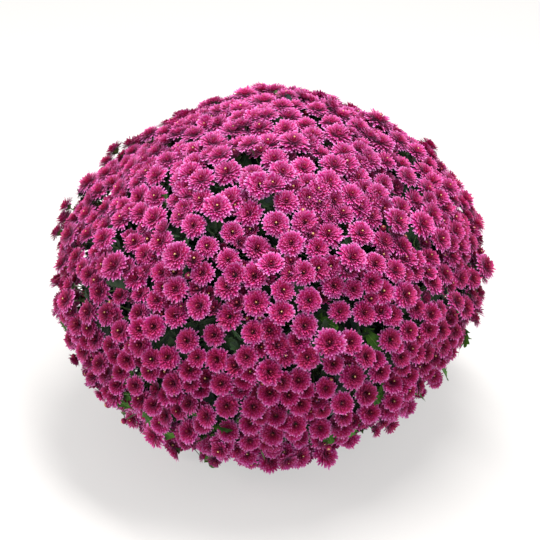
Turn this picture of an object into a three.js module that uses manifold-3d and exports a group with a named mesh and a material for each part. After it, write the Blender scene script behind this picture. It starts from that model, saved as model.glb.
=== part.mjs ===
// A pot chrysanthemum in full bloom: a flattened ball of double flowers over a plain nursery pot.
// Millimetres, +Z up. The origin is on the floor, under the middle of the plant.
//
// The plant grows from the soil as one woody crown. Its stems fork under a bush of foliage, and the
// foliage carries the flowering sprays. Each spray is one body: its blooms stand on stalks that run
// together at one fork, and neighbouring blooms touch along one petal edge.
//
// No two sprays meet, because each keeps to its own side of flat planes half way to its neighbours,
// and no two blooms of a spray meet, because each keeps to its own wedge of space above the fork.

import * as THREE from "three";
import { mergeVertices } from "three/addons/utils/BufferGeometryUtils.js";
import Module from "manifold-3d";

const wasm = await Module();
wasm.setup();

// ---------------------------------------------------------------- driving dimensions

const SEED = 20;

// The ball of flowers: half its width, half its height, and the height of its widest level.
const BALL = { radius: 257, halfHeight: 211, middleZ: 200 };
const LOWEST_BLOOM_Z = 34;

// A grown ball isn't round: flatter flanks and fuller cheeks, as shares of the radius.
// Each is a direction round the ball, in degrees, a depth and the angle over which it fades.
const FLANKS = [
  { azimuth: 195, elevation: 50, depth: -0.085, spread: 32 },
  { azimuth: 325, elevation: 38, depth: -0.03, spread: 26 },
  { azimuth: 350, elevation: -22, depth: -0.06, spread: 30 },
  { azimuth: 282, elevation: -42, depth: 0.03, spread: 22 },
  { azimuth: 60, elevation: 12, depth: -0.05, spread: 38 },
  { azimuth: 128, elevation: -12, depth: -0.04, spread: 30 },
];

const BLOOM = {
  count: 738,
  radius: 17.4, // of a full flower head
  smallest: 0.74, // the youngest head, as a share of the full one
  petals: 5, // grouped petals that the rim shows
  notch: 0.73, // how far in the rim dips between petals
  crown: 4.6, // how far the middle stands over the rim's tips
  notchDrop: 1.6, // how far the dips lie below the tips
  rise: 6.5, // how far heads stand proud of the ball, or lie back in it
  proudShare: 0.05, // heads that stand clear of the rest
  proudRise: 10,
  spacing: 34,
  jitter: 0.05, // how far they stand off their even places, as a share of the ball's radius
  seamHalf: 2.6, // half the length of the petal edge that two heads share
};

// Which way a head faces: out of the ball, up to the light and along its stalk, and how far it sways.
const FACING = { outward: 0.75, upward: 0.2, alongStalk: 0.45, sway: 0.13 };

const SPRAYS = 40;
const SPRAY_REACH = 240; // sprays further apart than this can't meet
const SEAM_APART = Math.PI / 3.4; // least turn round a head between two seams
const FORK_CLEAR = 0.6; // from a spray's fork to the bush

// How the heads are spread: in rounds, first freely, then each within its own spray.
const SPREADING = { freeRounds: 24, ownRounds: 60, push: 0.3, pull: 0.7, clearOfLimit: 7 };
const PATCH_ROUNDS = 14;

// Where leaves may show: where three sprays meet, sampled over the ball, and mostly low down.
const MEETING = { samples: 9000, tolerance: 5, apart: 50, lowZ: 130, favour: 0.5 };
const BETWEEN_BLOOMS = 0.3; // clear width on each side of the plane between two heads
const BETWEEN_SPRAYS = 0.6; // the same between two sprays

const FOLIAGE = {
  outer: 0.765, // of the ball's size: where the sprays fork
  inner: 0.62, // of the ball's size: the bare inside of the bush
  innerAngles: [0, 35, 65, 92], // degrees from the top down to its inner corners
  outerSteps: 7,
  lowestZ: 74,
  lip: 6, // height of the lower edge
  segments: 20,
  unevenness: 3.5,
  skirtRadius: 117,
  skirtTopZ: 152,
};

const LEAF = {
  halfWidth: 12,
  halfThick: 0.55,
  fold: 0.28, // rise of the blade's sides from the midrib, as a share of the width
};

// Leaves in the gaps among the sprays. Each rises from the bush and lies over to one side.
const GAP_LEAF = {
  count: 22,
  room: 10, // half width of the gap that is left for one
  widening: 0.7, // how much wider the gap is towards sprays that stand further off
  rootDepth: 5, // into the bush
  bendDepth: 14, // of its bend and its tip, below the ball's surface
  tipDepth: 3,
  bendBack: 5, // from the bend to the middle of the gap
  reach: [19, 27],
  lowestZ: 14,
  turns: 16, // directions that are tried
  droop: 3, // how far it prefers to hang down
};

// Leaves that hang at the bush's lower edge: radius and height of the root and the bend, the range
// of both for the tip, and how far the tip swings to a side.
const SKIRT_LEAF = {
  count: 16,
  root: [123, 88],
  bend: [124, 56],
  tipRadius: [132, 139],
  tipZ: [22, 34],
  swing: 5,
};

const CROWN = {
  trunkRadius: 8,
  bottomZ: 62,
  forkZ: 136,
  forks: 7,
  forkRadius: 4.2,
  forkTurn: 12, // degrees that a fork stands off its even place
  forkOverlap: 10, // of each fork and the trunk
  elbow: [26, 38], // radius of a fork's bend, and its height above the trunk
  tipElevation: [28, 56],
  intoBush: 0.05, // of the ball's size
};

const POT = {
  height: 140,
  rimRadius: 112,
  shoulderRadius: 107,
  rimDepth: 26,
  rimStep: 6, // height over which the wall widens into the rim
  neck: 2, // how far the wall stays inside the shoulder's radius
  baseRadius: 80,
  wall: 2.2,
  floor: 3,
  segments: 32,
  drains: 5,
  drainRadius: 7,
  drainRing: 62,
};

const SOIL = { top: 122, mound: 5, clear: 0.3, wallClear: 0.5, moundShoulder: 0.6 };

const COLOURS = {
  petals: 0xc43f92,
  foliage: 0x2c5227,
  soil: 0x33261d,
  pot: 0x23282a,
};

// ---------------------------------------------------------------- small tools

const UP = new THREE.Vector3(0, 0, 1);
const MIDDLE = new THREE.Vector3(0, 0, BALL.middleZ);
const degrees = THREE.MathUtils.degToRad;

// A seeded source of numbers from 0 to 1.
function seeded(seed) {
  let state = seed >>> 0;
  return () => {
    state = (state + 0x6d2b79f5) >>> 0;
    let t = state;
    t = Math.imul(t ^ (t >>> 15), t | 1);
    t ^= t + Math.imul(t ^ (t >>> 7), t | 61);
    return ((t ^ (t >>> 14)) >>> 0) / 4294967296;
  };
}

const random = seeded(SEED);
const between = (low, high) => low + (high - low) * random();

// Unit direction from the middle of the ball, from degrees round it and degrees above its equator.
function direction(azimuth, elevation) {
  const a = degrees(azimuth);
  const e = degrees(elevation);
  return new THREE.Vector3(Math.cos(e) * Math.cos(a), Math.cos(e) * Math.sin(a), Math.sin(e));
}

const flanks = FLANKS.map((f) => ({ ...f, axis: direction(f.azimuth, f.elevation) }));

// How far the ball swells or flattens towards a unit direction, as a share of its radius.
function swell(unit) {
  let share = 1;
  for (const flank of flanks) {
    const away = unit.angleTo(flank.axis) / degrees(flank.spread);
    share += flank.depth * Math.exp(-away * away);
  }
  return share;
}

// The unit direction of a point, with the ball's flattening taken out.
function unitOf(point) {
  return new THREE.Vector3(
    point.x / BALL.radius,
    point.y / BALL.radius,
    (point.z - BALL.middleZ) / BALL.halfHeight,
  ).normalize();
}

// The point of the ball's surface in a unit direction, shrunk to a share of the ball's size.
function onBall(unit, share = 1) {
  const s = share * swell(unit);
  return new THREE.Vector3(
    unit.x * BALL.radius * s,
    unit.y * BALL.radius * s,
    BALL.middleZ + unit.z * BALL.halfHeight * s,
  );
}

// Outward normal of the plain ball in a unit direction.
function normalAt(unit) {
  return new THREE.Vector3(
    unit.x / BALL.radius,
    unit.y / BALL.radius,
    unit.z / BALL.halfHeight,
  ).normalize();
}

// Any two directions square to an axis and to each other.
function squareTo(axis) {
  const across = new THREE.Vector3().crossVectors(UP, axis);
  if (across.lengthSq() < 1e-6) across.set(1, 0, 0);
  across.normalize();
  return [across, new THREE.Vector3().crossVectors(axis, across)];
}

// A flat limit: what keeps to it has (point - on) . normal <= -margin.
function plane(on, normal, margin) {
  return { on, normal: normal.clone().normalize(), margin };
}

function beyond(limit, point) {
  return (
    limit.normal.x * (point.x - limit.on.x) +
    limit.normal.y * (point.y - limit.on.y) +
    limit.normal.z * (point.z - limit.on.z) +
    limit.margin
  );
}

// The point drawn back towards a safe one until it keeps to every limit.
function drawnBack(point, safe, limits) {
  let share = 1;
  for (const limit of limits) {
    const over = beyond(limit, point);
    if (over <= 0) continue;
    const under = beyond(limit, safe);
    share = Math.min(share, Math.max(0, under / (under - over)));
  }
  return safe.clone().lerp(point, share);
}

// ---------------------------------------------------------------- solids

function toSolid(geometry) {
  const bare = geometry.index ? geometry.toNonIndexed() : geometry.clone();
  bare.deleteAttribute("normal");
  bare.deleteAttribute("uv");
  const merged = mergeVertices(bare, 1e-4);
  return new wasm.Manifold(
    new wasm.Mesh({
      numProp: 3,
      vertProperties: new Float32Array(merged.attributes.position.array),
      triVerts: new Uint32Array(merged.index.array),
    }),
  );
}

function toGeometry(solid) {
  const mesh = solid.getMesh();
  const geometry = new THREE.BufferGeometry();
  geometry.setAttribute("position", new THREE.BufferAttribute(mesh.vertProperties, 3));
  geometry.setIndex(new THREE.BufferAttribute(mesh.triVerts, 1));
  return geometry;
}

function fromPoints(points, faces) {
  const geometry = new THREE.BufferGeometry().setFromPoints(points);
  geometry.setIndex(faces.flat());
  return geometry;
}

// A turned body from its closed outline of [radius, height] points, which runs anticlockwise.
function turned(outline, segments) {
  const profile = outline.map(([r, z]) => new THREE.Vector2(r, z));
  return new THREE.LatheGeometry(profile, segments).rotateX(Math.PI / 2);
}

function named(name, geometry, color, roughness) {
  const flat = geometry.index ? geometry.toNonIndexed() : geometry;
  flat.computeVertexNormals();
  const material = new THREE.MeshStandardMaterial({ color, roughness, metalness: 0 });
  const mesh = new THREE.Mesh(flat, material);
  mesh.name = name;
  return mesh;
}

// ---------------------------------------------------------------- where the heads stand

// Even points over the ball down to the lowest bloom, on a golden-angle spiral.
function spiral(count, jitter) {
  const lowest = (LOWEST_BLOOM_Z - BALL.middleZ) / BALL.halfHeight;
  const golden = Math.PI * (3 - Math.sqrt(5));
  return Array.from({ length: count }, (_, i) => {
    const z = 1 - ((1 - lowest) * (i + 0.5)) / count;
    const ring = Math.sqrt(1 - z * z);
    const turn = i * golden;
    const unit = new THREE.Vector3(ring * Math.cos(turn), ring * Math.sin(turn), z);
    unit.x += between(-jitter, jitter);
    unit.y += between(-jitter, jitter);
    unit.z += between(-jitter, jitter);
    return onBall(unit.normalize());
  });
}

// Moves points that stand closer than the spacing apart, and off the limits of their own spray.
function spread(points, rounds, limitsOf) {
  const push = points.map(() => new THREE.Vector3());
  const gap = new THREE.Vector3();
  for (let round = 0; round < rounds; round++) {
    push.forEach((p) => p.set(0, 0, 0));
    for (let i = 0; i < points.length; i++) {
      for (let j = i + 1; j < points.length; j++) {
        gap.subVectors(points[i], points[j]);
        const apart = gap.length();
        if (apart >= BLOOM.spacing) continue;
        gap.multiplyScalar((SPREADING.push * (BLOOM.spacing - apart)) / Math.max(apart, 0.01));
        push[i].add(gap);
        push[j].sub(gap);
      }
    }
    points.forEach((point, i) => {
      point.add(push[i]);
      for (const limit of limitsOf(i)) {
        const over = beyond(limit, point) + SPREADING.clearOfLimit;
        if (over > 0) point.addScaledVector(limit.normal, -SPREADING.pull * over);
      }
      if (point.z < LOWEST_BLOOM_Z) point.z = LOWEST_BLOOM_Z;
      point.copy(onBall(unitOf(point)));
    });
  }
}

// The index of the nearest site of a point.
function nearest(sites, point) {
  let best = 0;
  for (let i = 1; i < sites.length; i++)
    if (sites[i].distanceToSquared(point) < sites[best].distanceToSquared(point)) best = i;
  return best;
}

// Sites at the middle of equal patches of points.
function patches(points, count) {
  const sites = spiral(count, 0);
  for (let round = 0; round < PATCH_ROUNDS; round++) {
    const sums = sites.map(() => ({ sum: new THREE.Vector3(), n: 0 }));
    for (const point of points) {
      const patch = sums[nearest(sites, point)];
      patch.sum.add(point);
      patch.n += 1;
    }
    sums.forEach((patch, i) => {
      if (patch.n) sites[i].copy(onBall(unitOf(patch.sum.divideScalar(patch.n))));
    });
  }
  return sites;
}

// Places where three patches meet, which is where leaves show between the sprays.
function meetings(sites, count) {
  const found = spiral(MEETING.samples, 0)
    .map((point) => {
      const near = sites.map((site) => site.distanceTo(point)).sort((a, b) => a - b);
      return { point, apart: near[2] - near[0] };
    })
    .filter((place) => place.apart < MEETING.tolerance)
    .sort((a, b) => a.apart - b.apart);
  const kept = [];
  for (const { point } of found)
    if (kept.every((other) => other.distanceTo(point) > MEETING.apart)) kept.push(point);
  return kept
    .map((point) => ({ point, rank: random() - (point.z < MEETING.lowZ ? MEETING.favour : 0) }))
    .sort((a, b) => a.rank - b.rank)
    .slice(0, count)
    .map((place) => place.point);
}

// ---------------------------------------------------------------- one spray of blooms

// One head: its middle, the way it faces, and the ray on which it stands above the fork.
function makeHead(place, fork) {
  const unit = unitOf(place);
  const normal = normalAt(unit);
  const facing = normal.clone().multiplyScalar(FACING.outward);
  facing.addScaledVector(UP, FACING.upward);
  facing.addScaledVector(place.clone().sub(fork).normalize(), FACING.alongStalk);
  facing.x += between(-FACING.sway, FACING.sway);
  facing.y += between(-FACING.sway, FACING.sway);
  facing.z += between(-FACING.sway / 2, FACING.sway);
  facing.normalize();
  const proud = random() < BLOOM.proudShare ? BLOOM.proudRise : 0;
  const height = between(-BLOOM.rise, BLOOM.rise / 2) + proud;
  const middle = place.clone().addScaledVector(normal, height);
  const radius = BLOOM.radius * Math.sqrt(between(BLOOM.smallest, 1));
  const [across, along] = squareTo(facing);
  const ray = middle.clone().sub(fork).normalize();
  return { middle, facing, across, along, radius, ray, turn: between(0, 2 * Math.PI), seams: [] };
}

// The turn of a point round a head, in radians.
function turnOf(head, point) {
  const to = point.clone().sub(head.middle);
  return Math.atan2(to.dot(head.along), to.dot(head.across));
}

// How far one turn is past another, from 0 up to a full turn.
function past(from, to) {
  return (((to - from) % (2 * Math.PI)) + 2 * Math.PI) % (2 * Math.PI);
}

// The flat limits that keep a head in its own wedge above the fork.
function wedge(head, others, fork) {
  return others
    .filter((other) => other !== head)
    .map((other) => plane(fork, other.ray.clone().sub(head.ray), BETWEEN_BLOOMS));
}

// The petal edge that two heads share, on the plane between their wedges, or null if it won't fit.
function seamBetween(a, b, fork, limits) {
  const normal = b.ray.clone().sub(a.ray).normalize();
  const upward = a.ray.clone().add(b.ray).normalize();
  const point = a.middle.clone().lerp(b.middle, 0.5).addScaledVector(upward, -BLOOM.notchDrop);
  const sideways = new THREE.Vector3().crossVectors(upward, normal).normalize();
  for (const half of [BLOOM.seamHalf, BLOOM.seamHalf / 2]) {
    const ends = [-half, half].map((s) => {
      const end = point.clone().addScaledVector(sideways, s);
      return end.addScaledVector(normal, -end.clone().sub(fork).dot(normal));
    });
    if (limits.every((limit) => ends.every((end) => beyond(limit, end) <= 0))) return ends;
  }
  return null;
}

// Whether a head has room round its rim for one more seam in a turn.
function hasRoom(head, turn) {
  const apart = (seam) => Math.min(past(seam.turn, turn), past(turn, seam.turn));
  return head.seams.length < BLOOM.petals - 1 && head.seams.every((s) => apart(s) > SEAM_APART);
}

// Notes a seam on a head, with its two corners in the anticlockwise order of the rim.
function addSeam(head, turn, ids, ends) {
  const swing = past(turnOf(head, ends[0]), turnOf(head, ends[1]));
  head.seams.push({ turn, ids: swing < Math.PI ? ids : [ids[1], ids[0]] });
}

// Joins the heads of a spray into one body, each by one petal edge, with the closest pairs first.
function joinHeads(heads, fork, outer) {
  const pairs = [];
  heads.forEach((a, i) =>
    heads.slice(i + 1).forEach((b) => pairs.push({ a, b, apart: a.middle.distanceTo(b.middle) })),
  );
  pairs.sort((p, q) => p.apart - q.apart);
  const group = new Map(heads.map((head, i) => [head, i]));
  const corners = [];
  for (const { a, b } of pairs) {
    if (group.get(a) === group.get(b)) continue;
    const others = heads.filter((head) => head !== a && head !== b);
    const limits = [...wedge(a, others, fork), ...wedge(b, others, fork), ...outer];
    const ends = seamBetween(a, b, fork, limits);
    if (!ends) continue;
    const centre = ends[0].clone().lerp(ends[1], 0.5);
    const [turnA, turnB] = [turnOf(a, centre), turnOf(b, centre)];
    if (!hasRoom(a, turnA) || !hasRoom(b, turnB)) continue;
    const ids = [corners.push(ends[0]) - 1, corners.push(ends[1]) - 1];
    addSeam(a, turnA, ids, ends);
    addSeam(b, turnB, ids, ends);
    const [from, to] = [group.get(b), group.get(a)];
    for (const [head, g] of group) if (g === from) group.set(head, to);
  }
  return corners;
}

// The rim of a head, anticlockwise: tips and dips in turn, with the seams among them. Each corner
// holds either its place or the id of a seam's corner, and says whether a seam follows it.
function rimOf(head, corners) {
  const sides = 2 * BLOOM.petals;
  const rim = Array.from({ length: sides }, () => ({ id: null, turn: 0, seam: false }));
  const first = head.seams.length ? head.seams[0].turn : head.turn;
  const seams = [...head.seams].sort((p, q) => past(first, p.turn) - past(first, q.turn));
  let side = 0;
  seams.forEach((seam, m) => {
    const even = Math.round((past(first, seam.turn) / (2 * Math.PI)) * sides);
    const latest = sides - 2 * (seams.length - m);
    side = m === 0 ? 0 : Math.min(Math.max(even, side + 2), latest);
    seam.ids.forEach((id, k) => {
      rim[side + k].id = id;
      rim[side + k].turn = turnOf(head, corners[id]);
    });
    rim[side].seam = true;
  });
  if (!seams.length) rim[0].turn = head.turn;
  const fixed = seams.length ? rim.flatMap((c, k) => (c.id === null ? [] : [k])) : [0];
  fixed.forEach((k, m) => {
    const next = fixed[(m + 1) % fixed.length];
    const steps = (next - k + sides) % sides || sides;
    const swing = past(rim[k].turn, rim[next].turn) || 2 * Math.PI;
    for (let j = 1; j < steps; j++) rim[(k + j) % sides].turn = rim[k].turn + (swing * j) / steps;
  });
  rim.forEach((corner, k) => {
    const dip = k % 2;
    const out = head.radius * (dip ? BLOOM.notch : 1);
    corner.place = head.middle
      .clone()
      .addScaledVector(head.across, out * Math.cos(corner.turn))
      .addScaledVector(head.along, out * Math.sin(corner.turn))
      .addScaledVector(head.facing, dip ? -BLOOM.notchDrop : 0);
  });
  return rim;
}

// The closed surface of a spray: each head's petals, and its stalk down to the fork.
function sprayGeometry(places, fork, outer) {
  const heads = places.map((place) => makeHead(place, fork));
  const corners = joinHeads(heads, fork, outer);
  const points = [fork, ...corners];
  const faces = [];
  for (const head of heads) {
    const limits = [...wedge(head, heads, fork), ...outer];
    const top = points.push(head.middle.clone().addScaledVector(head.facing, BLOOM.crown)) - 1;
    const rim = rimOf(head, corners);
    const ids = rim.map(({ id, place }) =>
      id === null ? points.push(drawnBack(place, head.middle, limits)) - 1 : 1 + id,
    );
    ids.forEach((id, k) => faces.push([top, id, ids[(k + 1) % ids.length]]));
    for (let tip = 0; tip < ids.length; tip += 2) {
      const before = (tip + ids.length - 1) % ids.length;
      const after = tip + 1;
      if (rim[before].seam || rim[tip].seam) {
        // A petal that touches its neighbour runs down to the fork with it.
        if (!rim[before].seam) faces.push([0, ids[tip], ids[before]]);
        if (!rim[tip].seam) faces.push([0, ids[after], ids[tip]]);
      } else {
        // A free petal stands out over the stalk.
        faces.push([ids[before], ids[after], ids[tip]]);
        faces.push([0, ids[after], ids[before]]);
      }
    }
  }
  return fromPoints(points, faces);
}

// ---------------------------------------------------------------- foliage

// The closed outline of the leafy bush: a thick bell that hangs over the pot's rim.
function bushOutline() {
  const outer = [];
  const { radius, halfHeight, middleZ } = BALL;
  const lowest = Math.acos((FOLIAGE.lowestZ - middleZ) / (halfHeight * FOLIAGE.outer));
  for (let k = 0; k <= FOLIAGE.outerSteps; k++) {
    const angle = (lowest * k) / FOLIAGE.outerSteps;
    const r = radius * FOLIAGE.outer * Math.sin(angle);
    outer.push([r, middleZ + halfHeight * FOLIAGE.outer * Math.cos(angle)]);
  }
  const inner = FOLIAGE.innerAngles.map((angle) => [
    radius * FOLIAGE.inner * Math.sin(degrees(angle)),
    middleZ + halfHeight * FOLIAGE.inner * Math.cos(degrees(angle)),
  ]);
  inner.push([FOLIAGE.skirtRadius, FOLIAGE.skirtTopZ]);
  inner.push([FOLIAGE.skirtRadius, FOLIAGE.lowestZ + FOLIAGE.lip]);
  return [...inner, ...outer.reverse()];
}

// The bush, a little uneven above the pot.
function bushGeometry() {
  const geometry = turned(bushOutline(), FOLIAGE.segments);
  geometry.deleteAttribute("normal");
  geometry.deleteAttribute("uv");
  const merged = mergeVertices(geometry, 1e-3);
  const position = merged.attributes.position;
  const corner = new THREE.Vector3();
  for (let i = 0; i < position.count; i++) {
    corner.fromBufferAttribute(position, i);
    if (corner.z < FOLIAGE.skirtTopZ + 1) continue;
    const share = 1 + between(-FOLIAGE.unevenness, FOLIAGE.unevenness) / BALL.radius;
    corner.sub(MIDDLE).multiplyScalar(share).add(MIDDLE);
    position.setXYZ(i, corner.x, corner.y, corner.z);
  }
  return merged;
}

// Where the line from a point towards the middle of the ball meets the bush.
function bushBelow(bush, point) {
  const inward = MIDDLE.clone().sub(point).normalize();
  const hit = new THREE.Raycaster(point, inward).intersectObject(bush)[0];
  return { at: hit.point, inward };
}

// One lobed leaf on a curved midrib, as a thin closed blade. Each station of the outline gives its
// share of the midrib and of the half width: stalk, first lobe, dip, second lobe, dip, then the tip.
const STATIONS = [
  { along: 0, wide: 0.12 },
  { along: 0.5, wide: 0.12 },
  { along: 0.58, wide: 0.85 },
  { along: 0.66, wide: 0.42 },
  { along: 0.77, wide: 1 },
  { along: 0.86, wide: 0.45 },
];

function leafGeometry(root, bend, tip, limits, halfWidth) {
  const midrib = new THREE.QuadraticBezierCurve3(root, bend, tip);
  const chord = tip.clone().sub(root);
  const side = new THREE.Vector3().crossVectors(bend.clone().sub(root), chord).normalize();
  const outward = (along) =>
    new THREE.Vector3().crossVectors(midrib.getTangent(along), side).normalize();
  const edge = (station, sign) => {
    const wide = sign * station.wide * halfWidth;
    const middle = midrib.getPoint(station.along);
    const point = middle.clone().addScaledVector(side, wide);
    point.addScaledVector(outward(station.along), LEAF.fold * Math.abs(wide));
    return { point: drawnBack(point, middle, limits), along: station.along };
  };
  const left = STATIONS.map((station) => edge(station, 1));
  const right = STATIONS.map((station) => edge(station, -1));
  const ribs = [1, 3].map((k) => {
    const along = STATIONS[k].along;
    return { point: midrib.getPoint(along), along };
  });
  const end = { point: tip, along: 1 };
  // Corners run anticlockwise round the outline, and the two midrib points come last.
  const outline = [...right, end, ...left.reverse()];
  const corners = [...outline, ...ribs];
  const n = outline.length;
  const last = STATIONS.length - 1;
  const [low, high] = [n, n + 1];
  const faces = [[0, low, n - 1]];
  for (const flip of [false, true]) {
    const at = (k) => (flip ? n - 1 - k : k);
    const fan = [
      [at(0), at(1), low],
      [at(1), at(2), low],
      [at(2), at(3), low],
      [low, at(3), high],
      [at(3), at(4), high],
      [at(4), at(last), high],
      [at(last), last + 1, high],
    ];
    faces.push(...fan.map((f) => (flip ? [f[0], f[2], f[1]] : f)));
  }
  const lift = (corner, sign) =>
    corner.point.clone().addScaledVector(outward(corner.along), sign * LEAF.halfThick);
  const points = [...corners.map((c) => lift(c, 1)), ...corners.map((c) => lift(c, -1))];
  const under = corners.length;
  const all = faces.flatMap(([a, b, c]) => [
    [a, b, c],
    [under + a, under + c, under + b],
  ]);
  for (let k = 0; k < n; k++) {
    const next = (k + 1) % n;
    all.push([k, under + k, under + next], [k, under + next, next]);
  }
  return fromPoints(points, all);
}

// The flat limits round the gap that is left for a leaf, as a spray's limits and as the leaf's.
function gapLimits(place, sites) {
  const radial = place.clone().sub(MIDDLE).normalize();
  const order = sites.map((site, i) => ({ i, apart: site.distanceTo(place) }));
  order.sort((a, b) => a.apart - b.apart);
  const second = order[1].apart;
  return order.slice(0, 6).map(({ i, apart }) => {
    const towards = sites[i].clone().sub(place);
    towards.addScaledVector(radial, -towards.dot(radial)).normalize();
    const room = GAP_LEAF.room + GAP_LEAF.widening * Math.max(0, apart - second);
    const on = place.clone().addScaledVector(towards, room);
    return {
      spray: i,
      forSpray: plane(on, towards.clone().negate(), BETWEEN_SPRAYS / 2),
      forLeaf: plane(on, towards, BETWEEN_SPRAYS / 2 + LEAF.halfThick),
    };
  });
}

// A leaf that rises from the bush in its gap and lies over towards the side with the most room.
function gapLeaf(place, limits, bush) {
  const { at, inward } = bushBelow(bush, place);
  const outward = inward.clone().negate();
  const [across, along] = squareTo(outward);
  let best = { reach: 0, towards: across };
  for (let turn = 0; turn < GAP_LEAF.turns; turn++) {
    const angle = (2 * Math.PI * turn) / GAP_LEAF.turns;
    const towards = across.clone().multiplyScalar(Math.cos(angle));
    towards.addScaledVector(along, Math.sin(angle));
    const far = place.clone().addScaledVector(towards, MEETING.apart);
    const room = drawnBack(far, place, limits).distanceTo(place);
    const reach = room - GAP_LEAF.droop * towards.z;
    if (reach > best.reach) best = { reach, towards };
  }
  const start = place.clone().addScaledVector(best.towards, -GAP_LEAF.bendBack);
  start.addScaledVector(inward, GAP_LEAF.bendDepth);
  const bend = drawnBack(start, place, limits);
  const reach = Math.min(best.reach - 1, between(...GAP_LEAF.reach));
  const tip = place.clone().addScaledVector(best.towards, reach);
  tip.addScaledVector(inward, GAP_LEAF.tipDepth);
  tip.z = Math.max(tip.z, GAP_LEAF.lowestZ);
  const root = at.clone().addScaledVector(inward, GAP_LEAF.rootDepth);
  return leafGeometry(root, bend, tip, limits, LEAF.halfWidth * between(0.85, 1));
}

// Leaves that hang from the bush's lower edge, under the flowers.
function skirtLeaf(index) {
  const azimuth = (360 * (index + between(-0.2, 0.2))) / SKIRT_LEAF.count;
  const at = (r, z) => direction(azimuth, 0).multiplyScalar(r).setZ(z);
  const swing = between(-SKIRT_LEAF.swing, SKIRT_LEAF.swing);
  const tip = at(between(...SKIRT_LEAF.tipRadius), between(...SKIRT_LEAF.tipZ));
  tip.addScaledVector(direction(azimuth + 90, 0), swing);
  const [root, bend] = [at(...SKIRT_LEAF.root), at(...SKIRT_LEAF.bend)];
  return leafGeometry(root, bend, tip, [], LEAF.halfWidth * between(0.9, 1.15));
}

// A tube of even section along a path.
function stem(points, radius, sides, steps) {
  const section = new THREE.Shape(
    Array.from({ length: sides }, (_, k) => {
      const angle = (2 * Math.PI * k) / sides;
      return new THREE.Vector2(radius * Math.cos(angle), radius * Math.sin(angle));
    }),
  );
  const extrudePath = new THREE.CatmullRomCurve3(points);
  return new THREE.ExtrudeGeometry(section, { steps, extrudePath, bevelEnabled: false });
}

// The woody crown: a trunk that stands in the soil, and forks that reach up into the bush.
function crownSolid() {
  const length = CROWN.forkZ - CROWN.bottomZ;
  const trunk = new THREE.CylinderGeometry(CROWN.trunkRadius, CROWN.trunkRadius, length, 8);
  trunk.rotateX(Math.PI / 2).translate(0, 0, (CROWN.forkZ + CROWN.bottomZ) / 2);
  let crown = toSolid(trunk);
  const [elbowRadius, elbowHeight] = CROWN.elbow;
  for (let k = 0; k < CROWN.forks; k++) {
    const azimuth = (360 * k) / CROWN.forks + between(-CROWN.forkTurn, CROWN.forkTurn);
    const tip = direction(azimuth, between(...CROWN.tipElevation));
    const path = [
      new THREE.Vector3(0, 0, CROWN.forkZ - CROWN.forkOverlap),
      direction(azimuth, 0).multiplyScalar(elbowRadius).setZ(CROWN.forkZ + elbowHeight),
      onBall(tip, FOLIAGE.inner + CROWN.intoBush),
    ];
    crown = crown.add(toSolid(stem(path, CROWN.forkRadius, 5, 3)));
  }
  return crown;
}

// ---------------------------------------------------------------- pot and soil

// The radius and height at which the pot's wall turns out into its rim.
const NECK = {
  radius: POT.shoulderRadius - POT.neck,
  z: POT.height - POT.rimDepth - POT.rimStep,
};

function potGeometry() {
  const { rimRadius, baseRadius, height, wall, floor, rimDepth } = POT;
  const outline = [
    [0, 0],
    [baseRadius, 0],
    [NECK.radius, NECK.z],
    [rimRadius - 1, height - rimDepth],
    [rimRadius, height],
    [rimRadius - wall, height],
    [NECK.radius - wall, NECK.z],
    [baseRadius - wall, floor],
    [0, floor],
  ];
  let pot = toSolid(turned(outline, POT.segments));
  for (let k = 0; k < POT.drains; k++) {
    const drain = new THREE.CylinderGeometry(POT.drainRadius, POT.drainRadius, 4 * floor, 6);
    const place = direction((360 * k) / POT.drains, 0).multiplyScalar(POT.drainRing);
    drain.rotateX(Math.PI / 2).translate(place.x, place.y, 0);
    pot = pot.subtract(toSolid(drain));
  }
  return toGeometry(pot);
}

// The mix that fills the pot, mounded round the crown, with a plain hole for the trunk.
function soilGeometry() {
  const { rimRadius, baseRadius, height, wall, floor } = POT;
  const inside = wall + SOIL.wallClear;
  const slope = (SOIL.top - NECK.z) / (height - NECK.z);
  const topRadius = NECK.radius + slope * (rimRadius - NECK.radius) - inside;
  const share = SOIL.moundShoulder;
  const outline = [
    [0, floor + SOIL.clear],
    [baseRadius - inside, floor + SOIL.clear],
    [NECK.radius - inside, NECK.z],
    [topRadius, SOIL.top],
    [topRadius * share, SOIL.top + SOIL.mound * share],
    [0, SOIL.top + SOIL.mound],
  ];
  const mix = toSolid(turned(outline, POT.segments));
  const holeRadius = (CROWN.trunkRadius + SOIL.clear) / Math.cos(Math.PI / 8);
  const depth = SOIL.top + 2 * SOIL.mound - CROWN.bottomZ + SOIL.clear;
  const hole = new THREE.CylinderGeometry(holeRadius, holeRadius, depth, 8);
  hole.rotateX(Math.PI / 2).translate(0, 0, CROWN.bottomZ - SOIL.clear + depth / 2);
  return toGeometry(mix.subtract(toSolid(hole)));
}

// ---------------------------------------------------------------- the whole plant

const heads = spiral(BLOOM.count, BLOOM.jitter);
spread(heads, SPREADING.freeRounds, () => []);
const sites = patches(heads, SPRAYS);
const leafPlaces = meetings(sites, GAP_LEAF.count);
const leafGaps = leafPlaces.map((place) => gapLimits(place, sites));

// The flat limits of each spray: half way to every other spray, and round the leaves' gaps.
const sprayLimits = sites.map((site, i) => {
  const limits = sites
    .filter((other) => other !== site && other.distanceTo(site) < SPRAY_REACH)
    .map((other) => {
      const halfWay = site.clone().lerp(other, 0.5);
      return plane(halfWay, other.clone().sub(site), BETWEEN_SPRAYS);
    });
  for (const gap of leafGaps)
    for (const limit of gap) if (limit.spray === i) limits.push(limit.forSpray);
  return limits;
});

const owner = heads.map((head) => nearest(sites, head));
spread(heads, SPREADING.ownRounds, (i) => sprayLimits[owner[i]]);

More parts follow.
